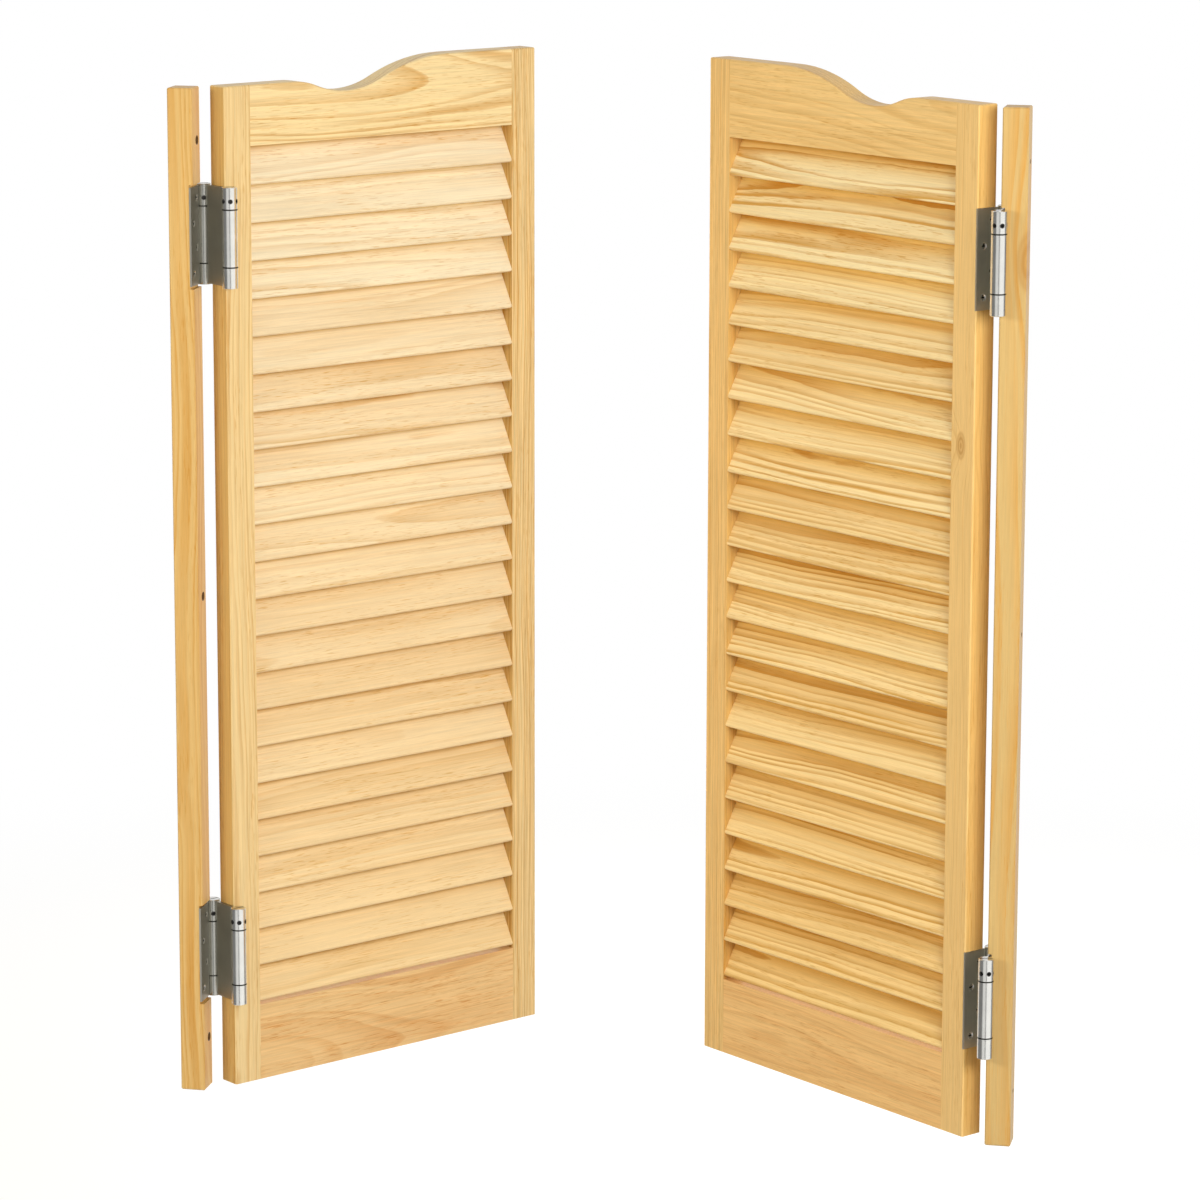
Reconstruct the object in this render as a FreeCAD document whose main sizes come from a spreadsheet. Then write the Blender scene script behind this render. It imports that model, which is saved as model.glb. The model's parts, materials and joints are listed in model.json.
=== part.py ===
import FreeCAD, Part
import math
import os
import re
import Sketcher

# A pair of louvred cafe doors on double-action spring hinges, with the two
# wall battens that carry them.
#
# Frame: X runs across the doorway from the left wall to the right wall, Y runs
# through it (the louvre noses face -Y), Z is up. The origin is the middle wall
# screw of the left batten, on the face that lies against the wall.
#
# Both doors stand part open towards +Y, each turned about its rear barrels.

V = FreeCAD.Vector
doc = FreeCAD.newDocument("cafe_doors")

# ---------------------------------------------------------------- sizes, mm
# Each alias is one size that can be changed by itself.
sheet = doc.addObject("Spreadsheet::Sheet", "sz")
SIZES = {
    # doors
    "door_w": 404,              # width of one door
    "door_t": 25.4,             # thickness of stiles and rails
    "door_h": 1048.7,           # height at the hinge side
    "strike_rise": 18.3,        # how much taller the meeting side is
    "stile_w": 32,
    "top_rail_h": 62.2,         # at the hinge side
    "bottom_rail_h": 81.3,
    "arris": 1.2,               # broken long edges of stiles and battens
    # curved top edge, measured from the hinge edge
    "crest_x": 88,              # where the dip starts
    "dip_x": 155,               # lowest point of the dip
    "dip_drop": 12.7,           # below the hinge side
    "dip_r": 105,
    "shoulder_x": 290,          # where the high flat starts
    # louvres
    "slat_count": 23,
    "slat_t": 6.5,
    "slat_l": 43.5,             # across the grain, nose to tail
    "slat_tilt": 28,            # degrees from upright
    "slat_round": 2.4,          # rounded long edges
    "slat_inset": 0.45,         # nose behind the stile face
    "slat_gap_low": 2.7,        # open line above the bottom rail
    "slat_gap_top": 0.45,       # under the top rail
    "slat_house": 6,            # depth of the slots in the stiles
    "slat_play": 0.1,           # slot wider than the slat, each side
    # dowelled corners
    "dowel_d": 8,
    "dowel_in_stile": 22,
    "dowel_in_rail": 28,
    "dowel_edge_top": 15,       # from the rail's lower edge
    "dowel_edge_low": 18,       # from the bottom rail's edges
    "dowel_pitch_top": 28,
    # wall battens
    "batten_w": 26,
    "batten_d": 27.5,
    "batten_short": 0.7,        # batten top below the door's hinge side
    "door_lift": 4,             # door foot above batten foot
    "wood_gap": 2,              # batten face to door edge
    "meet_gap": 10,             # between the closed doors
    "jamb_hole_d": 5,
    "jamb_head_d": 9.6,
    "jamb_hole_end": 54,        # outer screws from the batten ends
    "jamb_hole_y": 17,          # behind the batten front face
    # double-action spring hinges
    "hinge_rise": 96.5,         # lower leaf's foot above the batten's
    "hinge_drop": 101.7,        # upper leaf's top below the door's
    "leaf_h": 101,
    "leaf_t": 2,
    "leaf_reach": 36,           # free edge to barrel centre
    "leaf_gap": 1,              # between closed plates
    "leaf_play": 0.2,           # round a leaf let into a door
    "web_t": 2,
    "gain_over": 2.75,          # batten gain beyond a leaf, each end
    "barrel_r": 8,
    "barrel_over": 1.25,        # barrel beyond a leaf, each end
    "barrel_edge": 0.5,         # chamfer of its two ends
    "knuckle_low_h": 21.5,
    "knuckle_top_h": 22.5,
    "joint_gap": 0.3,           # between knuckles, end to end
    "swing_clear": 0.4,         # plates cut back round the barrels
    "tube_bore_r": 6.2,
    "tube_floor": 2,
    "pin_r": 3,
    "pin_gap": 0.08,            # pin in a tube that turns on it
    "pin_head_h": 5,
    "pin_slot_w": 1.6,
    "pin_slot_h": 1.5,
    "collar_r": 6.2,
    "collar_gap": 0.05,
    "spring_r": 5.75,
    "spring_in_r": 3.4,
    "spring_end_gap": 0.6,
    "window_r": 2.4,            # key holes of the adjusting collar
    "window_count": 6,
    "window_down": 14.2,        # centre below the barrel top
    "key_hole_r": 1.7,
    "key_hole_in": 2.2,
    # hinge screws
    "screw_r": 1.75,
    "screw_head_r": 3.5,
    "screw_l": 18,
    "screw_tip": 4,
    "screw_top": 12,            # first screw below the leaf top
    "screw_pitch": 25.5,
    "screw_far": 20,            # rows from the free edge
    "screw_near": 9.5,
    # how far the doors stand open, degrees
    "left_angle": 52,
    "right_angle": 38.5,
}
for row, (alias, value) in enumerate(SIZES.items(), start=1):
    sheet.set("A%d" % row, alias)
    sheet.set("B%d" % row, str(value))
    sheet.setAlias("B%d" % row, alias)
doc.recompute()


def size(alias):
    return float(sheet.get(alias))


# ------------------------------------------- lengths that follow the sizes
SIZE_WORD = re.compile(r"\b(%s)\b" % "|".join(SIZES))


def bound(text):
    return SIZE_WORD.sub(r"sz.\1", text)


BATTEN_H = "(door_lift + door_h - batten_short)"
HINGE_STEP = "(door_lift + door_h - hinge_drop - leaf_h - hinge_rise)"
RAIL_L = "(door_w - 2*stile_w)"
RAIL_LOW = "(door_h - top_rail_h)"
STRIKE_H = "(door_h + strike_rise)"
SLAT_RISE = ("((slat_l - 2*slat_round)*cos(slat_tilt)"
             " + (slat_t - 2*slat_round)*sin(slat_tilt) + 2*slat_round)")
# the sharp corner that the rounded nose of the lowest slat is cut from
SLAT_Y = "(slat_inset - slat_round*(cos(slat_tilt) + sin(slat_tilt) - 1))"
SLAT_Z = ("(bottom_rail_h + slat_gap_low + (slat_t - slat_round)*sin(slat_tilt)"
          " + slat_round*(1 - cos(slat_tilt)))")
SLAT_PITCH = ("((%s - bottom_rail_h - slat_gap_low - slat_gap_top - %s)"
              "/(slat_count - 1))" % (RAIL_LOW, SLAT_RISE))
HINGE_SPAN = "(2*leaf_reach - door_t)"
PLATE_IN = "(web_t/2 + leaf_gap)"
PLATE_OUT = "(web_t/2 + leaf_gap + leaf_t)"
BARREL_FOOT = "(0 - barrel_over)"
BARREL_TOP = "(leaf_h + barrel_over)"
TUBE_FOOT = "(knuckle_low_h + joint_gap - barrel_over)"
TUBE_TOP = "(leaf_h + barrel_over - knuckle_top_h - joint_gap)"
KNUCKLE_TOP_FOOT = "(leaf_h + barrel_over - knuckle_top_h)"
GAIN_DEPTH = PLATE_OUT
DOOR_GAIN = "(web_t/2 + leaf_gap + leaf_t - wood_gap)"
SCREW_SEAT = "(screw_head_r - screw_r)"
DOWEL_TOPS = ("(%s + dowel_edge_top)" % RAIL_LOW,
              "(%s + dowel_edge_top + dowel_pitch_top)" % RAIL_LOW)
DOWEL_LOWS = ("dowel_edge_low", "(bottom_rail_h - dowel_edge_low)")

clear_w = 2 * (size("door_w") + size("wood_gap")) + size("meet_gap")
left_face = size("batten_w")
right_face = left_face + clear_w
middle = left_face + clear_w / 2
front_y = -size("jamb_hole_y")
batten_h = size("door_lift") + size("door_h") - size("batten_short")
foot_z = -batten_h / 2
rear_axis_y = front_y + size("leaf_reach")
front_axis_y = front_y + size("door_t") - size("leaf_reach")
hinge_y = (rear_axis_y + front_axis_y) / 2


# -------------------------------------------------------- drawing helpers
def bind(obj, **properties):
    for name, text in properties.items():
        obj.setExpression(name.replace("__", "."), bound(text))


def name_part(obj, label, placement):
    obj.Label = label
    obj.Placement = placement
    return obj


def body_of(label):
    body = doc.addObject("PartDesign::Body", label)
    body.AllowCompound = True
    return body


def origin_item(body, role):
    return [item for item in body.Origin.OriginFeatures if item.Role == role][0]


def sketch_on(body, plane, at=("0", "0", "0"), turn=None):
    """A sketch on one of the body's planes; `at` is in the plane's own axes."""
    sketch = body.newObject("Sketcher::SketchObject", "Sketch")
    sketch.AttachmentSupport = [(origin_item(body, plane), "")]
    sketch.MapMode = "FlatFace"
    bind(sketch, AttachmentOffset__Base__x=at[0], AttachmentOffset__Base__y=at[1],
         AttachmentOffset__Base__z=at[2])
    if turn:
        sketch.AttachmentOffset = FreeCAD.Placement(V(), FreeCAD.Rotation(V(0, 0, 1), 1))
        bind(sketch, AttachmentOffset__Rotation__Angle=turn)
    return sketch


def fix(sketch, kind, *args):
    """A dimension of the sketch: as drawn at first, then tied to the sheet."""
    *where, text = args
    if kind == "Radius":
        drawn = sketch.Geometry[where[0]].Radius
    else:
        run = sketch.getPoint(*where[2:]) - sketch.getPoint(*where[:2])
        drawn = run.x if kind == "DistanceX" else run.y
    index = sketch.addConstraint(Sketcher.Constraint(kind, *where, drawn))
    sketch.setExpression("Constraints[%d]" % index, bound(text))


def draw_rectangle(sketch, width, height, left="0", low="0"):
    corners = [V(1, 1, 0), V(9, 1, 0), V(9, 6, 0), V(1, 6, 0)]
    first = sketch.GeometryCount
    for i in range(4):
        sketch.addGeometry(Part.LineSegment(corners[i], corners[(i + 1) % 4]), False)
    for i in range(4):
        sketch.addConstraint(Sketcher.Constraint(
            "Coincident", first + i, 2, first + (i + 1) % 4, 1))
        kind = "Horizontal" if i % 2 == 0 else "Vertical"
        sketch.addConstraint(Sketcher.Constraint(kind, first + i))
    fix(sketch, "DistanceX", -1, 1, first, 1, left)
    fix(sketch, "DistanceY", -1, 1, first, 1, low)
    fix(sketch, "DistanceX", first, 1, first, 2, width)
    fix(sketch, "DistanceY", first + 1, 1, first + 1, 2, height)


def draw_slat_end(sketch, play):
    """The slat's section, `play` larger all round, its sharp corner at the origin."""
    w, h, r = size("slat_t"), size("slat_l"), size("slat_round")
    width, height = "slat_t + 2*%s" % play, "slat_l + 2*%s" % play
    radius = "slat_round + %s" % play
    arc_at = [(w - r, r, -90), (w - r, h - r, 0), (r, h - r, 90), (r, r, 180)]
    lines = [((r, 0), (w - r, 0)), ((w, r), (w, h - r)),
             ((w - r, h), (r, h)), ((0, h - r), (0, r))]
    for start, end in lines:
        sketch.addGeometry(Part.LineSegment(V(*start, 0), V(*end, 0)), False)
    for x, y, begin in arc_at:
        circle = Part.Circle(V(x, y, 0), V(0, 0, 1), r)
        begin = math.radians(begin)
        sketch.addGeometry(Part.ArcOfCircle(circle, begin, begin + math.pi / 2), False)
    for i in range(4):
        sketch.addConstraint(Sketcher.Constraint("Tangent", i, 2, 4 + i, 1))
        sketch.addConstraint(Sketcher.Constraint("Tangent", 4 + i, 2, (i + 1) % 4, 1))
        if i < 3:
            sketch.addConstraint(Sketcher.Constraint("Equal", 4 + i, 5 + i))
    for i in range(4):
        kind = "Horizontal" if i % 2 == 0 else "Vertical"
        sketch.addConstraint(Sketcher.Constraint(kind, i))
    fix(sketch, "Radius", 4, radius)
    fix(sketch, "DistanceX", -1, 1, 1, 1, width)
    fix(sketch, "DistanceX", 3, 1, 1, 2, width)
    fix(sketch, "DistanceY", -1, 1, 2, 1, height)
    fix(sketch, "DistanceY", 0, 1, 2, 2, height)


def draw_circle(sketch, x, y, radius):
    index = sketch.addGeometry(Part.Circle(V(5, 5, 0), V(0, 0, 1), 2), False)
    fix(sketch, "DistanceX", -1, 1, index, 3, x)
    fix(sketch, "DistanceY", -1, 1, index, 3, y)
    fix(sketch, "Radius", index, radius)


def pad(body, sketch, length, backwards=False):
    feature = body.newObject("PartDesign::Pad", "Pad")
    feature.Profile = sketch
    feature.Reversed = backwards
    bind(feature, Length=length)
    doc.recompute()
    return feature


def pocket(body, sketch, depth, backwards=False):
    """Cuts `depth` against the plane's normal, or along it when backwards."""
    before = body.Tip.Shape.Volume
    feature = body.newObject("PartDesign::Pocket", "Pocket")
    feature.Profile = sketch
    feature.Reversed = backwards
    bind(feature, Length=depth)
    doc.recompute()
    if feature.Shape.Volume > before - 1e-3:
        raise RuntimeError("%s: a pocket cuts nothing" % body.Label)
    return feature


def row_up(body, feature, span, count):
    """Repeats a feature straight up, `span` from the first to the last."""
    pattern = body.newObject("PartDesign::LinearPattern", "Row")
    pattern.Originals = [feature]
    pattern.Direction = (origin_item(body, "Z_Axis"), [""])
    bind(pattern, Length=span, Occurrences=count)
    body.Tip = pattern
    doc.recompute()
    return pattern


def ring_round(body, feature, axis, count):
    """Repeats a feature round an upright axis."""
    pattern = body.newObject("PartDesign::PolarPattern", "Ring")
    pattern.Originals = [feature]
    pattern.Axis = axis
    pattern.Angle = 360
    bind(pattern, Occurrences=count)
    body.Tip = pattern
    doc.recompute()
    return pattern


def revolve(body, sketch):
    """A full turn of a half section about the sketch's upright axis."""
    feature = body.newObject("PartDesign::Revolution", "Turned")
    feature.Profile = sketch
    feature.ReferenceAxis = (sketch, ["V_Axis"])
    feature.Angle = 360
    doc.recompute()
    return feature


def countersunk_holes(body, sketch, diameter, head):
    """Through holes at the sketch's circles, countersunk on its plane."""
    doc.recompute()
    before = body.Tip.Shape.Volume
    holes = body.newObject("PartDesign::Hole", "Countersunk")
    holes.Profile = sketch
    doc.recompute()
    holes.DepthType = "ThroughAll"
    holes.HoleCutType = "Countersink"
    holes.HoleCutCountersinkAngle = 90
    bind(holes, Diameter=diameter, HoleCutDiameter=head)
    doc.recompute()
    if holes.Shape.Volume > before - 1e-3:
        raise RuntimeError("%s: the holes cut nothing" % body.Label)
    return holes


def break_edges(body, feature, width, wanted):
    """Chamfers the edges that the test picks."""
    chamfer = body.newObject("PartDesign::Chamfer", "Arris")
    chamfer.Base = (feature, ["Edge%d" % number for number, edge
                              in enumerate(feature.Shape.Edges, start=1) if wanted(edge)])
    bind(chamfer, Size=width)
    doc.recompute()


def turned(solid, at, along_x):
    if along_x:
        solid.Placement = FreeCAD.Placement(V(), FreeCAD.Rotation(V(0, 1, 0), 90))
    bind(solid, Placement__Base__x=at[0], Placement__Base__y=at[1],
         Placement__Base__z=at[2])
    return solid


def cylinder(radius, height, at, along_x=False):
    solid = doc.addObject("Part::Cylinder", "Rod")
    bind(solid, Radius=radius, Height=height)
    return turned(solid, at, along_x)


def cone(radius_1, radius_2, height, at, along_x=False):
    solid = doc.addObject("Part::Cone", "Taper")
    bind(solid, Radius1=radius_1, Radius2=radius_2, Height=height)
    return turned(solid, at, along_x)


def fuse(*solids):
    joined = doc.addObject("Part::MultiFuse", "Joined")
    joined.Shapes = list(solids)
    return joined


def cut(base, *tools):
    result = doc.addObject("Part::Cut", "Cut")
    result.Base = base
    result.Tool = fuse(*tools) if len(tools) > 1 else tools[0]
    return result


def group(solids):
    together = doc.addObject("Part::Compound", "Group")
    together.Links = solids
    return together


def mirrored(source):
    """The same piece for the right side of the doorway."""
    copy = doc.addObject("Part::Mirroring", "Mirrored")
    copy.Source = source
    copy.Normal = V(1, 0, 0)
    copy.Base = V(middle, 0, 0)
    return copy


# ----------------------------------------------------- where things stand
def about(x, y, degrees):
    """A turn about an upright line."""
    return FreeCAD.Placement(V(), FreeCAD.Rotation(V(0, 0, 1), degrees), V(x, y, 0))


def moved(x, y, z, degrees=0):
    return FreeCAD.Placement(V(x, y, z), FreeCAD.Rotation(V(0, 0, 1), degrees))


left_swing = about(left_face, rear_axis_y, size("left_angle"))
right_swing = about(right_face, rear_axis_y, -size("right_angle"))
mirror_catch_up = about(right_face, rear_axis_y, size("left_angle") - size("right_angle"))
left_batten_place = moved(0, front_y, foot_z)
left_door_place = left_swing * moved(
    left_face + size("wood_gap"), front_y, foot_z + size("door_lift"))

nodes = []


def keep(obj, label, placement):
    nodes.append(name_part(obj, label, placement))


# ------------------------------------------------------------ wall battens
# A square batten with a gain across it for each hinge, three countersunk wall
# screws and the hinge screws' pilot holes.
def screw_rows(sketch, foot, free_edge, inward):
    """Four circles, staggered; the free edge is at `free_edge` in Y."""
    for i in range(4):
        row = "screw_far" if i % 2 == 0 else "screw_near"
        draw_circle(sketch, "%s %s %s" % (free_edge, inward, row),
                    "%s + leaf_h - screw_top - %d*screw_pitch" % (foot, i), "screw_r")


def batten(label, free_edge, inward):
    body = body_of(label)
    plan = sketch_on(body, "XY_Plane")
    draw_rectangle(plan, "batten_w", "batten_d")
    block = pad(body, plan, BATTEN_H)
    break_edges(body, block, "arris", lambda edge: True)
    gain = sketch_on(body, "XZ_Plane", ("batten_w - %s" % GAIN_DEPTH,
                                        "hinge_rise - gain_over", "0"))
    draw_rectangle(gain, "%s + arris" % GAIN_DEPTH, "leaf_h + 2*gain_over")
    gain_cut = pocket(body, gain, "batten_d")
    row_up(body, gain_cut, HINGE_STEP, "2")
    pilots = sketch_on(body, "YZ_Plane", ("0", "0", "batten_w - %s" % GAIN_DEPTH))
    screw_rows(pilots, "hinge_rise", free_edge, inward)
    pilot_cut = pocket(body, pilots, "screw_l - leaf_t")
    row_up(body, pilot_cut, HINGE_STEP, "2")
    wall = sketch_on(body, "YZ_Plane", ("0", "0", "batten_w"))
    for height in ("jamb_hole_end", BATTEN_H + "/2", BATTEN_H + " - jamb_hole_end"):
        draw_circle(wall, "jamb_hole_y", height, "jamb_hole_d/2")
    countersunk_holes(body, wall, "jamb_hole_d", "jamb_head_d")
    return body


keep(batten("left_batten", "0", "+"), "left_batten", left_batten_place)
right_batten_form = batten("right_batten_form", "door_t", "-")
right_batten_form.Placement = left_batten_place
keep(mirrored(right_batten_form), "right_batten", FreeCAD.Placement())


# ------------------------------------------------------------------- doors
# Every piece of a door is drawn in the door's own frame: x from the hinge
# edge, y from the front face, z from the foot.
def ease_stile(body, plank, outer_x, inner_x):
    """Breaks the two outer corners of a stile and three edges of its top."""
    def outside(edge):
        box = edge.BoundBox
        level = box.ZLength < 1
        joint = abs(box.XMin - inner_x) < 1e-6 and box.XLength < 1
        return (level and not joint and box.ZMin > 1) or (not level and abs(box.XMin - outer_x) < 1)

    break_edges(body, plank, "arris", outside)


def slat_slots(body, inner_x, forward):
    """The row of tilted slots that house the slat ends."""
    slot = sketch_on(body, "YZ_Plane",
                     ("%s - slat_play*(cos(slat_tilt) + sin(slat_tilt))" % SLAT_Y,
                      "%s + slat_play*(sin(slat_tilt) - cos(slat_tilt))" % SLAT_Z, inner_x),
                     turn="0 - slat_tilt")
    draw_slat_end(slot, "slat_play")
    first = pocket(body, slot, "slat_house", forward)
    row_up(body, first, "%s*(slat_count - 1)" % SLAT_PITCH, "slat_count")


def dowel_holes(body, inner_x, depth, forward, heights):
    holes = sketch_on(body, "YZ_Plane", ("0", "0", inner_x))
    for height in heights:
        draw_circle(holes, "door_t/2", height, "dowel_d/2")
    pocket(body, holes, depth, forward)


def hinge_stile(label, free_edge, inward):
    body = body_of(label)
    plan = sketch_on(body, "XY_Plane")
    draw_rectangle(plan, "stile_w", "door_t")
    plank = pad(body, plan, "door_h")
    ease_stile(body, plank, 0, size("stile_w"))
    gain = sketch_on(body, "XZ_Plane",
                     ("0 - arris", "hinge_rise - door_lift - leaf_play", "0"))
    draw_rectangle(gain, "%s + arris" % DOOR_GAIN, "leaf_h + 2*leaf_play")
    gain_cut = pocket(body, gain, "door_t")
    row_up(body, gain_cut, HINGE_STEP, "2")
    pilots = sketch_on(body, "YZ_Plane", ("0", "0", DOOR_GAIN))
    screw_rows(pilots, "hinge_rise - door_lift", free_edge, inward)
    pilot_cut = pocket(body, pilots, "screw_l - leaf_t", True)
    row_up(body, pilot_cut, HINGE_STEP, "2")
    slat_slots(body, "stile_w", False)
    dowel_holes(body, "stile_w", "dowel_in_stile", False, DOWEL_TOPS + DOWEL_LOWS)
    return body


def strike_stile(label):
    body = body_of(label)
    plan = sketch_on(body, "XY_Plane", ("door_w - stile_w", "0", "0"))
    draw_rectangle(plan, "stile_w", "door_t")
    plank = pad(body, plan, STRIKE_H)
    ease_stile(body, plank, size("door_w"), size("door_w") - size("stile_w"))
    slat_slots(body, "door_w - stile_w", True)
    dowel_holes(body, "door_w - stile_w", "dowel_in_stile", True, DOWEL_TOPS + DOWEL_LOWS)
    return body


def draw_saloon_edge(sketch):
    """The top rail: a hollow arc between two rounder ones that run out level."""
    hollow = size("dip_r")
    left, right = size("stile_w"), size("door_w") - size("stile_w")
    level_1, level_2 = size("door_h"), size("door_h") + size("strike_rise")
    low = level_1 - size("top_rail_h")
    dip_x, dip_h = size("dip_x"), level_1 - size("dip_drop")

    def shoulder(x, level):
        drop = level - dip_h
        radius = ((dip_x - x) ** 2 + drop ** 2) / (2 * drop) - hollow
        turn = math.degrees(math.asin(abs(dip_x - x) / (radius + hollow)))
        return V(x, level - radius, 0), radius, turn

    def arc(centre, radius, begin, end):
        circle = Part.Circle(centre, V(0, 0, 1), radius)
        return sketch.addGeometry(
            Part.ArcOfCircle(circle, math.radians(begin), math.radians(end)), False)

    def line(x1, y1, x2, y2):
        return sketch.addGeometry(Part.LineSegment(V(x1, y1, 0), V(x2, y2, 0)), False)

    centre_1, radius_1, turn_1 = shoulder(size("crest_x"), level_1)
    centre_2, radius_2, turn_2 = shoulder(size("shoulder_x"), level_2)
    base = line(left, low, right, low)
    rise = line(right, low, right, level_2)
    high = line(right, level_2, centre_2.x, level_2)
    arc_2 = arc(centre_2, radius_2, 90, 90 + turn_2)
    dip = arc(V(dip_x, dip_h + hollow, 0), hollow, 270 - turn_1, 270 + turn_2)
    arc_1 = arc(centre_1, radius_1, 90 - turn_1, 90)
    flat = line(centre_1.x, level_1, left, level_1)
    fall = line(left, level_1, left, low)

    def join(kind, a, a_end, b, b_end):
        sketch.addConstraint(Sketcher.Constraint(kind, a, a_end, b, b_end))

    join("Coincident", base, 2, rise, 1)
    join("Coincident", rise, 2, high, 1)
    join("Tangent", high, 2, arc_2, 1)
    join("Tangent", arc_2, 2, dip, 2)
    join("Tangent", dip, 1, arc_1, 1)
    join("Tangent", arc_1, 2, flat, 1)
    join("Coincident", flat, 2, fall, 1)
    join("Coincident", fall, 2, base, 1)
    for level_line in (base, high, flat):
        sketch.addConstraint(Sketcher.Constraint("Horizontal", level_line))
    for upright in (rise, fall):
        sketch.addConstraint(Sketcher.Constraint("Vertical", upright))
    fix(sketch, "DistanceX", -1, 1, base, 1, "stile_w")
    fix(sketch, "DistanceX", -1, 1, base, 2, "door_w - stile_w")
    fix(sketch, "DistanceY", -1, 1, base, 1, RAIL_LOW)
    fix(sketch, "DistanceY", -1, 1, high, 1, STRIKE_H)
    fix(sketch, "DistanceX", -1, 1, high, 2, "shoulder_x")
    fix(sketch, "DistanceY", -1, 1, flat, 1, "door_h")
    fix(sketch, "DistanceX", -1, 1, flat, 1, "crest_x")
    fix(sketch, "DistanceX", -1, 1, dip, 3, "dip_x")
    fix(sketch, "DistanceY", -1, 1, dip, 3, "door_h - dip_drop + dip_r")
    fix(sketch, "Radius", dip, "dip_r")


def top_rail(label):
    body = body_of(label)
    face = sketch_on(body, "XZ_Plane")
    draw_saloon_edge(face)
    plank = pad(body, face, "door_t", True)
    middle_h = size("door_h") - size("top_rail_h") / 2
    break_edges(body, plank, "arris",
                lambda edge: edge.BoundBox.YLength < 1 and edge.BoundBox.ZMin > middle_h)
    dowel_holes(body, "stile_w", "dowel_in_rail", True, DOWEL_TOPS)
    dowel_holes(body, "door_w - stile_w", "dowel_in_rail", False, DOWEL_TOPS)
    return body


def bottom_rail(label):
    body = body_of(label)
    face = sketch_on(body, "XZ_Plane", ("stile_w", "0", "0"))
    draw_rectangle(face, RAIL_L, "bottom_rail_h")
    pad(body, face, "door_t", True)
    dowel_holes(body, "stile_w", "dowel_in_rail", True, DOWEL_LOWS)
    dowel_holes(body, "door_w - stile_w", "dowel_in_rail", False, DOWEL_LOWS)
    return body


def louvres(label):
    body = body_of(label)
    section = sketch_on(body, "YZ_Plane", (SLAT_Y, SLAT_Z, "stile_w - slat_house"),
                        turn="0 - slat_tilt")
    draw_slat_end(section, "0")
    slat = pad(body, section, "%s + 2*slat_house" % RAIL_L)
    row_up(body, slat, "%s*(slat_count - 1)" % SLAT_PITCH, "slat_count")
    return body


def dowels():
    ends = ("(stile_w - dowel_in_stile)", "(door_w - stile_w - dowel_in_rail)")
    return group([cylinder("dowel_d/2", "dowel_in_stile + dowel_in_rail",
                           (end, "door_t/2", height), along_x=True)
                  for end in ends for height in DOWEL_TOPS + DOWEL_LOWS])


door_pieces = {
    "strike_stile": strike_stile("left_strike_stile"),
    "top_rail": top_rail("left_top_rail"),
    "bottom_rail": bottom_rail("left_bottom_rail"),
    "louvres": louvres("left_louvres"),
    "dowels": dowels(),
}
keep(hinge_stile("left_hinge_stile", "door_t", "-"), "left_hinge_stile", left_door_place)
right_stile_form = hinge_stile("right_stile_form", "0", "+")
right_stile_form.Placement = left_door_place
keep(mirrored(right_stile_form), "right_hinge_stile", mirror_catch_up)
for piece, solid in door_pieces.items():
    keep(solid, "left_" + piece, left_door_place)
    keep(mirrored(solid), "right_" + piece, mirror_catch_up)


# ------------------------------------------------------------------ hinges
# A double-action spring hinge: two leaves and a web between them, with an
# upright barrel at each side of the door. Each leaf carries the long tube of
# its own barrel, with the spring inside; the web carries the short knuckles
# above and below both tubes, the pins and the adjusting collars.
#
# Leaves, pins, springs and collars are drawn in the frame of one barrel: the
# origin on its centre line, level with the leaf foot, the leaf towards -Y.
def leaf(label):
    body = body_of(label)
    plan = sketch_on(body, "XY_Plane")
    draw_rectangle(plan, "leaf_t", "leaf_reach", "0 - %s" % PLATE_OUT, "0 - leaf_reach")
    pad(body, plan, "leaf_h")
    relief = sketch_on(body, "XY_Plane", ("0", "0", TUBE_FOOT))
    draw_circle(relief, "0", "0", "barrel_r + swing_clear")
    pocket(body, relief, TUBE_FOOT)
    relief = sketch_on(body, "XY_Plane", ("0", "0", TUBE_TOP))
    draw_circle(relief, "0", "0", "barrel_r + swing_clear")
    pocket(body, relief, "leaf_h - %s" % TUBE_TOP, True)
    tube = sketch_on(body, "XY_Plane", ("0", "0", TUBE_FOOT))
    draw_circle(tube, "0", "0", "barrel_r")
    pad(body, tube, "%s - %s" % (TUBE_TOP, TUBE_FOOT))
    bore = sketch_on(body, "XY_Plane", ("0", "0", "%s + tube_floor" % TUBE_FOOT))
    draw_circle(bore, "0", "0", "tube_bore_r")
    pocket(body, bore, "%s - %s" % (TUBE_TOP, TUBE_FOOT), True)
    pin_hole = sketch_on(body, "XY_Plane", ("0", "0", TUBE_FOOT))
    draw_circle(pin_hole, "0", "0", "pin_r + pin_gap")
    pocket(body, pin_hole, "2*tube_floor", True)
    screws = sketch_on(body, "YZ_Plane", ("0", "0", "0 - %s" % PLATE_IN))
    screw_rows(screws, "0", "0 - leaf_reach", "+")
    countersunk_holes(body, screws, "2*screw_r", "2*screw_head_r")
    return body


def rim_of_barrel(edge):
    """The rims beyond the plates, at the foot and the top of a barrel."""
    z = edge.BoundBox.Center.z
    return edge.BoundBox.ZLength < 0.1 and not 0 <= z <= size("leaf_h") and edge.BoundBox.XLength > 1


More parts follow.
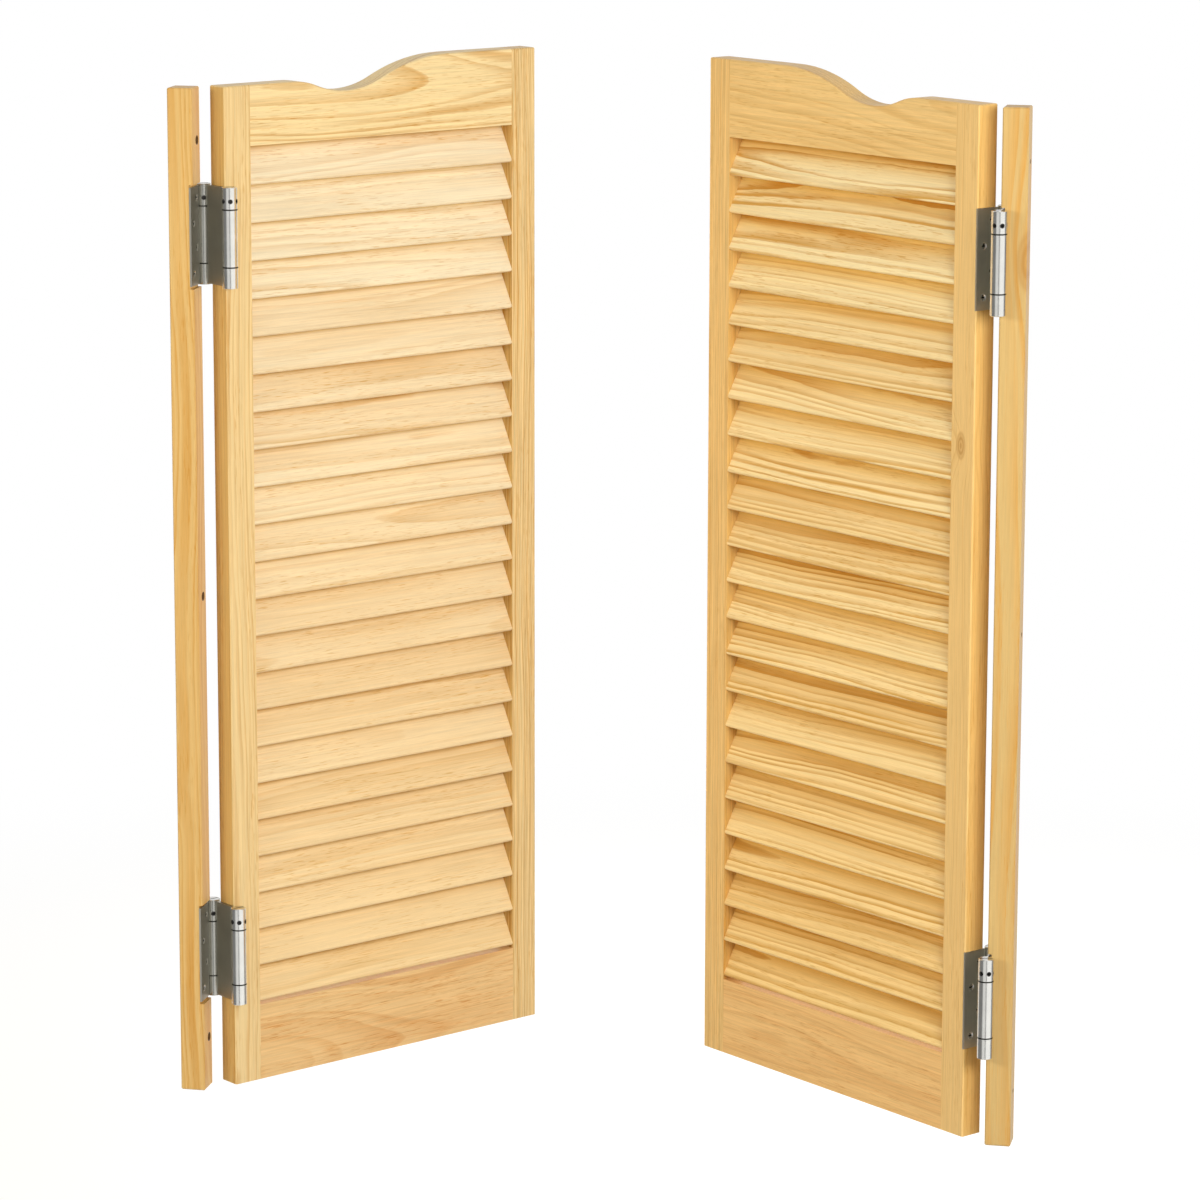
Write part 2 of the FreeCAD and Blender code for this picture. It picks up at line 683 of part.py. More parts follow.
def web(label):
    """Drawn in the hinge's frame: midway between its two barrels."""
    body = body_of(label)
    barrels = ("0 - %s/2" % HINGE_SPAN, "%s/2" % HINGE_SPAN)
    plan = sketch_on(body, "XY_Plane")
    draw_rectangle(plan, "web_t", HINGE_SPAN, "0 - web_t/2", barrels[0])
    pad(body, plan, "leaf_h")
    foot = "(knuckle_low_h - barrel_over)"

    def at_barrels(level, radius):
        sketch = sketch_on(body, "XY_Plane", ("0", "0", level))
        for y in barrels:
            draw_circle(sketch, "0", y, radius)
        return sketch

    pocket(body, at_barrels(foot, "barrel_r + swing_clear"),
           "%s - %s" % (KNUCKLE_TOP_FOOT, foot), True)
    pad(body, at_barrels(BARREL_FOOT, "barrel_r"), "knuckle_low_h")
    knuckles = pad(body, at_barrels(KNUCKLE_TOP_FOOT, "barrel_r"), "knuckle_top_h")
    break_edges(body, knuckles, "barrel_edge", rim_of_barrel)
    pocket(body, at_barrels(BARREL_FOOT, "pin_r"), "knuckle_low_h", True)
    pocket(body, at_barrels(KNUCKLE_TOP_FOOT, "collar_r + collar_gap"),
           "knuckle_top_h", True)
    for y in barrels:
        axis = sketch_on(body, "XY_Plane", ("0", y, "0"))
        window = sketch_on(body, "YZ_Plane", (y, "0", "0"))
        draw_circle(window, "0", "%s - window_down" % BARREL_TOP, "window_r")
        first = pocket(body, window, "barrel_r + 1", True)
        ring_round(body, first, (axis, ["N_Axis"]), "window_count")
    return body


def pin(label):
    body = body_of(label)
    half = sketch_on(body, "XZ_Plane")
    head_foot = "(%s - pin_head_h)" % BARREL_TOP
    draw_rectangle(half, "pin_r", "%s - %s" % (head_foot, BARREL_FOOT), "0", BARREL_FOOT)
    shank = revolve(body, half)
    half = sketch_on(body, "XZ_Plane")
    draw_rectangle(half, "collar_r", "pin_head_h", "0", head_foot)
    revolve(body, half)
    slot = sketch_on(body, "XY_Plane", ("0", "0", BARREL_TOP))
    draw_rectangle(slot, "2*collar_r", "pin_slot_w", "0 - collar_r", "0 - pin_slot_w/2")
    pocket(body, slot, "pin_slot_h")
    return body


def collar(label):
    body = body_of(label)
    ring = sketch_on(body, "XY_Plane", ("0", "0", "%s + collar_gap" % KNUCKLE_TOP_FOOT))
    draw_circle(ring, "0", "0", "collar_r")
    draw_circle(ring, "0", "0", "pin_r")
    pad(body, ring, "knuckle_top_h - pin_head_h - collar_gap")
    axis = sketch_on(body, "XY_Plane")
    key = sketch_on(body, "YZ_Plane", ("0", "0", "collar_r"))
    draw_circle(key, "0", "%s - window_down" % BARREL_TOP, "key_hole_r")
    first = pocket(body, key, "key_hole_in")
    ring_round(body, first, (axis, ["N_Axis"]), "window_count")
    return body


# The closely wound torsion spring is drawn as the sleeve that its coils fill.
def spring():
    foot = "(%s + tube_floor)" % TUBE_FOOT
    length = "(%s - spring_end_gap - %s)" % (TUBE_TOP, foot)
    wound = cylinder("spring_r", length, ("0", "0", foot))
    inside = cylinder("spring_in_r", length, ("0", "0", foot))
    return cut(wound, inside)


def screw(y, height):
    seat = "0 - %s" % PLATE_IN
    return fuse(
        cone("screw_r", "screw_head_r", SCREW_SEAT,
             ("%s - %s" % (seat, SCREW_SEAT), y, height), along_x=True),
        cylinder("screw_r", "screw_l - screw_tip - %s" % SCREW_SEAT,
                 ("%s - screw_l + screw_tip" % seat, y, height), along_x=True),
        cone("0", "screw_r", "screw_tip", ("%s - screw_l" % seat, y, height), along_x=True))


def leaf_screws():
    """The four screws of the lower leaf and the four of the upper one."""
    screws = []
    for lift in ("0", HINGE_STEP):
        for i in range(4):
            row = "screw_far" if i % 2 == 0 else "screw_near"
            screws.append(screw("%s - leaf_reach" % row,
                                "%s + leaf_h - screw_top - %d*screw_pitch" % (lift, i)))
    return group(screws)


still = FreeCAD.Placement()
span = 2 * size("leaf_reach") - size("door_t")
lower_z = foot_z + size("hinge_rise")
upper_z = foot_z + size("door_lift") + size("door_h") - size("hinge_drop") - size("leaf_h")
sides = {
    "left": (left_face, 0, left_swing, left_swing),
    "right": (right_face, 180, still, right_swing),
}
for side, (face_x, turn, web_swing, door_swing) in sides.items():
    for level, level_z in (("upper", upper_z), ("lower", lower_z)):
        hinge = moved(face_x, hinge_y, level_z, turn)
        barrels = {
            "batten": hinge * moved(0, span / 2, 0),
            "door": hinge * moved(0, -span / 2, 0, 180),
        }
        name = "%s_%s_" % (side, level)
        keep(web(name + "web"), name + "web", web_swing * hinge)
        for use, barrel in barrels.items():
            swing = still if use == "batten" else door_swing
            keep(leaf(name + use + "_leaf"), name + use + "_leaf", swing * barrel)
            keep(spring(), name + use + "_spring", swing * barrel)
            keep(pin(name + use + "_pin"), name + use + "_pin", web_swing * barrel)
            keep(collar(name + use + "_collar"), name + use + "_collar", web_swing * barrel)
            if level == "lower":
                keep(leaf_screws(), "%s_%s_leaf_screws" % (side, use), swing * barrel)

# ------------------------------------------------------------------ export
doc.recompute()
for item in doc.Objects:
    if "Invalid" in item.State or "Error" in item.State:
        raise RuntimeError("%s (%s) failed: %s" % (item.Name, item.Label, item.State))
os.makedirs("parts", exist_ok=True)
for item in nodes:
    if item.Shape.isNull() or not item.Shape.isValid():
        raise RuntimeError("%s has no valid shape" % item.Label)
    item.Shape.exportStep("parts/%s.step" % item.Label)
    print("%-34s %3d solids %12.1f mm3" % (item.Label, len(item.Shape.Solids),
                                           item.Shape.Volume))
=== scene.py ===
import json
import math
import bmesh
import bpy
import numpy as np
from mathutils import Matrix, Vector


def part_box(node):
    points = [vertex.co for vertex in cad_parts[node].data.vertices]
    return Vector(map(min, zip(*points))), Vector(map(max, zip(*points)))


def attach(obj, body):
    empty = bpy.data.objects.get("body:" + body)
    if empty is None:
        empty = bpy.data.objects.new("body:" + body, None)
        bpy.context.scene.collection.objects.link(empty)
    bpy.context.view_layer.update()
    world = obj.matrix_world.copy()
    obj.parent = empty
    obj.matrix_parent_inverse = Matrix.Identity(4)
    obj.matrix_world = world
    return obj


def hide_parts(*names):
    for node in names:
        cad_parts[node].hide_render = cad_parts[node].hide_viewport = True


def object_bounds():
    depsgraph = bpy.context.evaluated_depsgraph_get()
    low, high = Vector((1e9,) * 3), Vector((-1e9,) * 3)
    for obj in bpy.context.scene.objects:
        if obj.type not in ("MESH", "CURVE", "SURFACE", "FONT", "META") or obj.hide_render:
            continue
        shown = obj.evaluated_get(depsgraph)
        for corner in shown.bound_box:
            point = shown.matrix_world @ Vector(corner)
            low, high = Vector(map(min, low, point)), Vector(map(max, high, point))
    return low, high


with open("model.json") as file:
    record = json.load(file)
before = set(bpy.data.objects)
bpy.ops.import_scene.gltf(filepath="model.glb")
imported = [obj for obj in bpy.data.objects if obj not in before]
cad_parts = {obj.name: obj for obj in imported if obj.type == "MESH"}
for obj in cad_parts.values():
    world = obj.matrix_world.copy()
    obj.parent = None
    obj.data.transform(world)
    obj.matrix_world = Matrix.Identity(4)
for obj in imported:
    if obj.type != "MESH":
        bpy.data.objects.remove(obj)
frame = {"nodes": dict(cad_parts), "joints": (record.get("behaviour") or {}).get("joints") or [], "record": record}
cad_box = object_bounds()
nodes = frame["nodes"]


# ------------------------------------------------------------------- battens
# Square pine, flat-sawn and planed, the arrises eased, under two coats of clear
# lacquer. Each batten is fixed to a wall of the doorway by three countersunk
# screws.
class Tree:
    """The nodes of one tree, laid out left to right as they are added."""

    SPACING = 180
    # the colour sockets of a Mix node
    COLOUR_A, COLOUR_B, MIXED = 6, 7, 2

    def __init__(self, tree):
        self.tree = tree
        self.count = 0

    def node(self, kind, **settings):
        made = self.tree.nodes.new(kind)
        made.location = (self.SPACING * self.count, 0)
        self.count += 1
        for name, value in settings.items():
            setattr(made, name, value)
        return made

    def join(self, source, target):
        """Feeds a socket from another socket, or sets it to a value."""
        if isinstance(source, bpy.types.NodeSocket):
            self.tree.links.new(source, target)
        else:
            target.default_value = source

    def math(self, operation, a, b=0.0, c=0.0, clamp=False):
        made = self.node("ShaderNodeMath", operation=operation, use_clamp=clamp)
        for source, target in zip((a, b, c), made.inputs):
            self.join(source, target)
        return made.outputs[0]

    def plus(self, a, b, clamp=False):
        return self.math("ADD", a, b, clamp=clamp)

    def minus(self, a, b):
        return self.math("SUBTRACT", a, b)

    def times(self, a, b):
        return self.math("MULTIPLY", a, b)

    def times_plus(self, a, b, c, clamp=False):
        return self.math("MULTIPLY_ADD", a, b, c, clamp)

    def swing(self, noise, share, base, even=0.5):
        """`base`, and `share` of what the noise is above or below `even`."""
        return self.times_plus(self.minus(noise, even), share, base)

    def vector(self, operation, a, b=(0.0, 0.0, 0.0)):
        made = self.node("ShaderNodeVectorMath", operation=operation)
        self.join(a, made.inputs[0])
        self.join(b, made.inputs[1])
        return made.outputs["Value" if operation in ("LENGTH", "DOT_PRODUCT") else "Vector"]

    def off_line(self, place, point, across):
        """Distance from the line through `point`; `across` is 1 on the axes
        that the line doesn't follow."""
        apart = self.vector("SUBTRACT", place, point)
        return self.vector("LENGTH", self.vector("MULTIPLY", apart, across))

    def scaled(self, vector, factor):
        made = self.node("ShaderNodeVectorMath", operation="SCALE")
        self.join(vector, made.inputs[0])
        self.join(factor, made.inputs["Scale"])
        return made.outputs["Vector"]

    def split(self, vector):
        made = self.node("ShaderNodeSeparateXYZ")
        self.join(vector, made.inputs[0])
        return made.outputs

    def combine(self, x, y, z):
        made = self.node("ShaderNodeCombineXYZ")
        for source, target in zip((x, y, z), made.inputs):
            self.join(source, target)
        return made.outputs[0]

    def ease(self, value, low, high):
        """0 up to `low`, 1 from `high` on, smooth between."""
        made = self.node("ShaderNodeMapRange", interpolation_type="SMOOTHSTEP")
        for source, name in ((value, "Value"), (low, "From Min"), (high, "From Max")):
            self.join(source, made.inputs[name])
        return made.outputs["Result"]

    def noise(self, vector, detail, roughness=0.5, scale=1.0):
        made = self.node("ShaderNodeTexNoise")
        self.join(vector, made.inputs["Vector"])
        made.inputs["Scale"].default_value = scale
        made.inputs["Detail"].default_value = detail
        made.inputs["Roughness"].default_value = roughness
        return made.outputs

    def blend(self, factor, a, b, mode="MIX"):
        made = self.node("ShaderNodeMix", data_type="RGBA", blend_type=mode)
        self.join(factor, made.inputs["Factor"])
        self.join(a, made.inputs[self.COLOUR_A])
        self.join(b, made.inputs[self.COLOUR_B])
        return made.outputs[self.MIXED]

    def tinted(self, colour, tint):
        return self.blend(1.0, colour, tint, mode="MULTIPLY")


def new_group(name, inputs, outputs):
    """A shader node group with named sockets, its tree and what it is given."""
    group = bpy.data.node_groups.new(name, "ShaderNodeTree")
    for label, kind, value in inputs:
        socket = group.interface.new_socket(label, in_out="INPUT",
                                            socket_type="NodeSocket" + kind)
        if value is not None:
            socket.default_value = value
    for label, kind in outputs:
        group.interface.new_socket(label, in_out="OUTPUT", socket_type="NodeSocket" + kind)
    tree = Tree(group)
    return group, tree, tree.node("NodeGroupInput").outputs


def close_group(tree, **results):
    end = tree.node("NodeGroupOutput")
    for label, source in results.items():
        tree.join(source, end.inputs[label])


# how far along the log and how deep in it the next board may be cut
LOG_LENGTH, LOG_DEPTH = 7.0, 3.7
# waves a metre along and across the grain, depth in the log, detail, roughness
RIPPLE_WAVES = (6.0, 30.0, 0.0, 4.0)
FIBRE_WAVES = (11.0, 400.0, 0.0, 6.0, 0.8)
CLOUD_WAVES = (3.5, 26.0, 2.0, 3.0)
HAIR_WAVES, HAIR_EDGE = (8.0, 800.0, 7.0, 2.0, 0.6), (0.55, 0.75)
DUCT_WAVES, DUCT_EDGE = (55.0, 1000.0, 5.0, 1.0), (0.58, 0.70)
DUCT_PATCHES, PATCH_EDGE = (5.0, 45.0, 9.0, 1.0), (0.38, 0.60)
# knots: cells a metre along and across, and the radius in cells
KNOTS_ALONG, KNOTS_ACROSS, KNOTS_SHIFT = 5.0, 14.0, 9.0
KNOT_R, KNOT_R_MORE = 0.05, 0.04
# the least radius of a given knot, its width to its length, a distance past any
# knot, and the soft edge, both in radii
LEAST_KNOT, KNOT_OVAL, NO_KNOT, KNOT_EDGE = 0.00001, 0.45, 99.0, (1.25, 0.75)
KNOT_RINGS, KNOT_RING_DEPTH, KNOT_DEPTH = 14.0, 0.15, 0.5
HEART, HEART_SHARE = (0.22, 0.07, 0.012, 1), 0.45
# how far a knot pushes the rings aside, and how fast that fades
RING_PUSH, PUSH_BASE, PUSH_FADE = 0.014, 2.718, -0.16
# the pith: bends a metre, its scatter from board to board, and the least share
# of its depth; then the ripple of the rings
PITH_BENDS, PITH_SHIFT, PITH_SCATTER, PITH_LEAST = 1.7, 40.0, 0.06, 0.5
RIPPLE = 0.007
# good and poor years, and the rings that stand out for a part of the board
YEARS_RUN, YEARS_UNEVEN = 0.55, 2.6
BOLD_RUN, BOLD_SCALE, BOLD_GAIN, BOLD_LEAST = 2.5, 1.3, 2.2, -0.45
# the year: when its wood begins to darken, when it is darkest and how much
# sooner in soft-ringed wood, and the thin line it ends with
DARKENS, DARKENS_SOFT, DARKEST, DARKEST_SOFT = 0.5, -0.35, 0.93, -0.14
LINE_BEGINS, LINE_ENDS = (0.80, 0.93), (1.0, 0.96)
LINE_SHARE, BAND_SHARE = 0.45, 0.75
# how much hairs and resin ducts darken the wood, and the values above which
# clouds and whole boards are darker than others
HAIR_SHARE, DUCT_SHARE, CLOUD_EVEN, BOARD_EVEN = 0.5, 0.45, 0.45, 0.4
# lacquer over early wood, late wood and fibres
GLOSS, GLOSS_LATE, GLOSS_FIBRE = 0.36, -0.06, 0.2
RAISED_LATE, RAISED_FIBRE = 0.7, 0.5


def pine_group():
    """Growth rings of a board whose length runs along x, in metres.

    The rings are rough cylinders round a pith that lies below the board and
    drifts along it, so wide faces show cathedrals, edges straight lines and
    end grain arcs. Knots push the rings aside."""
    group, tree, given = new_group("Pine board", [
        ("Board", "Vector", None), ("Seed", "Float", 0.0), ("Ring Width", "Float", 0.004),
        ("Pith Depth", "Float", 0.03), ("Pith Offset", "Float", 0.0),
        ("Drift", "Float", 0.02), ("Knots", "Float", 0.0),
        ("Knot Spot", "Vector", (0.0, 0.0, 0.0)), ("Early Wood", "Color", (0.8, 0.6, 0.3, 1)),
        ("Late Wood", "Color", (0.5, 0.25, 0.06, 1)), ("Edge Tone", "Color", (1, 1, 1, 1)),
        ("Edge", "Float", 0.0), ("Contrast", "Float", 0.6), ("Vary", "Float", 0.0),
        ("Spread", "Float", 0.1), ("Softness", "Float", 0.5), ("Fibre", "Float", 0.5)],
        [("Color", "Color"), ("Roughness", "Float"), ("Height", "Float")])
    seed = given["Seed"]
    lot = tree.node("ShaderNodeTexWhiteNoise", noise_dimensions="1D")
    tree.join(seed, lot.inputs["W"])
    lot_1, lot_2, lot_3 = tree.split(lot.outputs["Color"])
    on_board, across, through = tree.split(given["Board"])
    along = tree.plus(on_board, tree.times(lot_1, LOG_LENGTH))

    def grain(waves_along, waves_across, depth, detail, roughness=0.5):
        """Noise drawn out along the grain, with a slice of its own per board."""
        place = tree.combine(tree.times(along, waves_along), tree.times(across, waves_across),
                             tree.times_plus(through, waves_across,
                                             tree.times_plus(seed, LOG_DEPTH, depth)))
        return tree.noise(place, detail, roughness)["Fac"]

    # knots: some cells hold one, which runs through the board, and there may be
    # one more at a given spot, of a given size
    cell = tree.node("ShaderNodeTexVoronoi", feature="F1", voronoi_dimensions="2D")
    cell.inputs["Scale"].default_value = 1.0
    tree.join(tree.combine(tree.times(along, KNOTS_ALONG),
                           tree.plus(tree.times(across, KNOTS_ACROSS),
                                     tree.times(lot_2, KNOTS_SHIFT)), 0.0),
              cell.inputs["Vector"])
    chance, size_lot, _ = tree.split(cell.outputs["Color"])
    reach = tree.times_plus(size_lot, KNOT_R_MORE, KNOT_R)
    no_knot = tree.minus(1.0, tree.math("LESS_THAN", chance, given["Knots"]))
    apart = tree.plus(tree.math("DIVIDE", cell.outputs["Distance"], reach),
                      tree.times(no_knot, NO_KNOT))
    spot_along, spot_across, spot_size = tree.split(given["Knot Spot"])
    from_spot = tree.vector("LENGTH", tree.combine(
        tree.times(tree.minus(on_board, spot_along), KNOT_OVAL),
        tree.minus(across, spot_across), 0.0))
    spot_size = tree.math("MAXIMUM", spot_size, LEAST_KNOT)
    apart = tree.math("MINIMUM", apart, tree.math("DIVIDE", from_spot, spot_size))
    knot = tree.ease(apart, *KNOT_EDGE)
    push = tree.math("POWER", PUSH_BASE, tree.times(tree.times(apart, apart), PUSH_FADE))

    # where the pith lies, for this board and this far along it
    wander = tree.noise(tree.combine(tree.times(along, PITH_BENDS),
                                     tree.times(lot_2, PITH_SHIFT), seed), detail=1.0)
    drift_y, drift_z, _ = tree.split(wander["Color"])
    scatter = tree.swing(lot_2, PITH_SCATTER, given["Pith Offset"])
    pith_y = tree.swing(drift_y, given["Drift"], scatter)
    depth = tree.times(tree.plus(lot_3, PITH_LEAST), tree.times(given["Pith Depth"], -1.0))
    pith_z = tree.swing(drift_z, given["Drift"], depth)
    radius = tree.vector("LENGTH", tree.combine(
        tree.minus(across, pith_y), tree.minus(through, pith_z), 0.0))
    radius = tree.swing(grain(*RIPPLE_WAVES), RIPPLE, radius)
    radius = tree.times_plus(push, RING_PUSH, radius)

    # rings of uneven width: pale wood that darkens slowly and ends at a line
    years = tree.math("DIVIDE", radius, given["Ring Width"])
    uneven = tree.noise(tree.combine(tree.times(years, YEARS_RUN), seed, 0.0), detail=1.0)
    years = tree.times_plus(uneven["Fac"], YEARS_UNEVEN, years)
    season = tree.math("FRACT", years)
    darkest = tree.times_plus(given["Softness"], DARKEST_SOFT, DARKEST)
    darkens = tree.times_plus(given["Softness"], DARKENS_SOFT, DARKENS)
    late = tree.times(tree.ease(season, darkens, darkest), tree.ease(season, 1.0, darkest))
    line = tree.times(tree.ease(season, *LINE_BEGINS), tree.ease(season, *LINE_ENDS))
    late = tree.times_plus(line, LINE_SHARE, tree.times(late, BAND_SHARE))
    bold = tree.noise(tree.combine(tree.math("FLOOR", years), tree.times(along, BOLD_RUN), seed),
                      detail=1.0, scale=BOLD_SCALE)["Fac"]
    late = tree.times(late, tree.times_plus(bold, BOLD_GAIN, BOLD_LEAST, clamp=True))

    # how dark the wood is: rings, clouds, the board itself, hairs, resin ducts
    figure = tree.swing(lot_1, given["Vary"], 1.0)
    shade = tree.times(late, tree.times(given["Contrast"], figure))
    shade = tree.swing(grain(*CLOUD_WAVES), given["Spread"], shade, CLOUD_EVEN)
    shade = tree.swing(lot_3, given["Spread"], shade, BOARD_EVEN)
    hair = tree.ease(grain(*HAIR_WAVES), *HAIR_EDGE)
    shade = tree.times_plus(hair, tree.times(given["Fibre"], HAIR_SHARE), shade)
    duct = tree.times(tree.ease(grain(*DUCT_WAVES), *DUCT_EDGE),
                      tree.ease(grain(*DUCT_PATCHES), *PATCH_EDGE))
    shade = tree.plus(shade, tree.times(duct, DUCT_SHARE), clamp=True)
    colour = tree.blend(shade, given["Early Wood"], given["Late Wood"])
    fibre = grain(*FIBRE_WAVES)
    colour = tree.scaled(colour, tree.swing(fibre, given["Fibre"], 1.0))
    # edges take the edge colour: partly the wood's own deeper tone, partly painted shade
    colour = tree.blend(given["Edge"], colour, tree.tinted(colour, given["Edge Tone"]))
    heart = tree.times_plus(tree.math("SINE", tree.times(apart, KNOT_RINGS)),
                            KNOT_RING_DEPTH, KNOT_DEPTH)
    colour = tree.blend(tree.times(knot, heart), colour,
                        tree.blend(HEART_SHARE, given["Late Wood"], HEART))
    gloss = tree.times_plus(fibre, GLOSS_FIBRE, tree.times_plus(late, GLOSS_LATE, GLOSS))
    raised = tree.times_plus(late, RAISED_LATE, tree.times(fibre, RAISED_FIBRE))
    close_group(tree, Color=colour, Roughness=gloss, Height=raised)
    return group


def new_material(name):
    material = bpy.data.materials.new(name)
    material.use_nodes = True
    material.node_tree.nodes.clear()
    return material, Tree(material.node_tree)


def close_material(tree, group, colour, bump_strength, bump_depth, **even):
    """The end of a material: `group` is the node that gives the roughness and
    the height, and `even` is what is the same all over, such as the coat."""
    bump = tree.node("ShaderNodeBump")
    bump.inputs["Strength"].default_value = bump_strength
    bump.inputs["Distance"].default_value = bump_depth
    tree.join(group.outputs["Height"], bump.inputs["Height"])
    shader = tree.node("ShaderNodeBsdfPrincipled")
    tree.join(colour, shader.inputs["Base Color"])
    tree.join(group.outputs["Roughness"], shader.inputs["Roughness"])
    tree.join(bump.outputs["Normal"], shader.inputs["Normal"])
    for label, value in even.items():
        shader.inputs[label.replace("_", " ")].default_value = value
    end = tree.node("ShaderNodeOutputMaterial")
    tree.join(shader.outputs["BSDF"], end.inputs["Surface"])


def board_turn(grain, across):
    """The Euler turn that lays x along the grain and y across the board."""
    through = grain.cross(across)
    return Matrix((grain, across, through)).transposed().to_euler()


pine_board = pine_group()
# by how much of its normal runs across the board, wood is a face or an edge
EDGE_TURNED = (0.6, 0.9)
# from the seed of one board in a row to that of the next
NEXT_SEED = 1.37
# the wall of a hole, whose normal runs less along x than a face's does, and the
# near black painted on it as the shade inside the hole
SINK_R, HOLE_WALL, HOLE_SHADE = 0.0052, (0.95, 0.85), (0.11, 0.055, 0.018, 1)


def pine(name, start, grain, across, seed, row=None, last_board=None, amber=None, holes=(),
         **looks):
    """Lacquered pine, with the group's inputs as `looks`.

    `row` is the step, across and through, from one board of a piece to the
    next, so that each gets its own rings, and `last_board` the number and the
    pale wood of the last, to which the boards turn paler by degrees: painted
    light, paler towards the top. `amber` is painted shade on the upper part of
    each board, under the nose of the next: its tint and the heights at which
    it begins and is full. `holes` run along x, countersunk, painted near black
    inside as shade."""
    material, tree = new_material(name)
    place = tree.node("ShaderNodeTexCoord").outputs
    board = tree.node("ShaderNodeMapping", vector_type="TEXTURE")
    board.inputs["Location"].default_value = start
    board.inputs["Rotation"].default_value = board_turn(grain, across)
    tree.join(place["Object"], board.inputs["Vector"])
    on_board = board.outputs["Vector"]
    rings = tree.node("ShaderNodeGroup", node_tree=pine_board)
    rings.inputs["Seed"].default_value = seed
    for label, value in looks.items():
        rings.inputs[label.replace("_", " ")].default_value = value
    squarely = tree.math("ABSOLUTE", tree.vector("DOT_PRODUCT", place["Normal"], across))
    tree.join(tree.ease(squarely, *EDGE_TURNED), rings.inputs["Edge"])
    if row:
        along, over, through = tree.split(on_board)
        number = tree.math("ROUND", tree.math("DIVIDE", through, row[1]))
        on_board = tree.combine(along, tree.times_plus(number, -row[0], over),
                                tree.times_plus(number, -row[1], through))
        tree.join(tree.times_plus(number, NEXT_SEED, seed), rings.inputs["Seed"])
        # painted light: the early wood turns paler board by board up to the last, at the top
        last, painted_pale_top = last_board
        tree.join(tree.blend(tree.math("DIVIDE", number, last), looks["Early_Wood"], painted_pale_top),
                  rings.inputs["Early Wood"])
    tree.join(on_board, rings.inputs["Board"])
    colour = rings.outputs["Color"]
    # painted shade on the upper part of each board, under the nose of the next
    if amber:
        tint, begins, full = amber
        shaded = tree.ease(tree.split(on_board)[1], begins, full)
        colour = tree.blend(shaded, colour, tree.tinted(colour, tint))
    # painted shade: the walls of the holes are painted near black
    if holes:
        wall = tree.ease(tree.math("ABSOLUTE", tree.split(place["Normal"])[0]), *HOLE_WALL)
    for hole in holes:
        inside = tree.math("LESS_THAN", tree.off_line(place["Object"], hole, (0, 1, 1)), SINK_R)
        colour = tree.blend(tree.times(inside, wall), colour, HOLE_SHADE)
    close_material(tree, rings, colour, bump_strength=0.25, bump_depth=0.0002,
                   Specular_IOR_Level=0.25, Coat_Weight=0.08, Coat_Roughness=0.2)
    return material


def dress(node, material):
    """Gives a piece its material in place of the plain one."""
    slots = nodes[node].data.materials
    for index in range(len(slots)):
        slots[index] = material


def make_board(node, grain, across, **more):
    """Makes a piece one board of pine."""
    low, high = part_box(node)
    dress(node, pine(node + "_pine", (low + high) / 2, grain, across, **more))


UP, ALONG_DOORWAY = Vector((0, 0, 1)), Vector((1, 0, 0))
MM = 0.001
AMBER = (0.60, 0.29, 0.05, 1)
BATTENS = {
    "left": {"seed": 3.1, "Ring_Width": 0.007, "Early_Wood": (0.72, 0.465, 0.168, 1),
             "Knot_Spot": (-0.2, -0.018, 0.006)},
    "right": {"seed": 8.4, "Ring_Width": 0.014, "Early_Wood": (0.60, 0.405, 0.155, 1),
              "Knot_Spot": (0.375, 0.017, 0.013)},
}
mounts = {mount["name"]: mount for mount in frame["record"]["mounts"]}
for side, own in BATTENS.items():
    screw_row = mounts[side + "_jamb_screws"]
    half_row = screw_row["dims"]["spacing_y_mm"] * MM / 2
    wall_holes = [Vector(screw_row["pos_m"]) + half_row * step * UP for step in (-1, 0, 1)]
    make_board(side + "_batten", UP, ALONG_DOORWAY, holes=wall_holes, Pith_Depth=0.022,
               Drift=0.05, Late_Wood=AMBER, Contrast=0.95, Spread=0.3, Softness=0.8, **own)


# -------------------------------------------------------------------- stiles
# The pine uprights of each door, the full height, their grain upright. The
# inner edges are slotted for the slats, and the hinge leaves are let into the
# outer edge of the hinge stile.
SIDES = ("left", "right")
joint_of = {joint["name"]: joint for joint in frame["joints"]}
# the doors stand open on their rear barrels here, and one end of a rear joint's
# range shuts its door
shut_angle = {"left": joint_of["left_rear_barrels"]["range_deg"][0],
              "right": joint_of["right_rear_barrels"]["range_deg"][1]}
door_turn = {side: -math.radians(shut_angle[side]) for side in SIDES}
along_door = {side: Matrix.Rotation(door_turn[side], 3, "Z") @ ALONG_DOORWAY for side in SIDES}
# stile edges painted darker: partly the wood's own tone, partly painted shade, deeper on the left
STILE_COLOURS = {
    "left": {"Early_Wood": (0.85, 0.645, 0.325, 1), "Edge_Tone": (0.80, 0.69, 0.46, 1)},
    "right": {"Early_Wood": (0.83, 0.55, 0.215, 1), "Edge_Tone": (0.90, 0.86, 0.73, 1)},
}
# the hinge stiles are plain-sawn, the strike stiles show straight, close rings
HINGE_STILE = {"Ring_Width": 0.0036, "Contrast": 0.5, "Fibre": 0.6}
STRIKE_STILE = {"Ring_Width": 0.0026, "Contrast": 0.85, "Fibre": 1.0, "Pith_Offset": 0.11}
STILES = {
    "left_hinge_stile": {"seed": 21.7, **HINGE_STILE},
    "left_strike_stile": {"seed": 33.2, **STRIKE_STILE},
    "right_hinge_stile": {"seed": 22.7, "Knot_Spot": (0.185, -0.002, 0.006), **HINGE_STILE},
    "right_strike_stile": {"seed": 34.8, **STRIKE_STILE},
}
for stile, own in STILES.items():
    side = stile.split("_")[0]
    make_board(stile, UP, along_door[side], Pith_Depth=0.035, Drift=0.03, Knots=0.03,
               Late_Wood=AMBER, Spread=0.3, **STILE_COLOURS[side], **own)


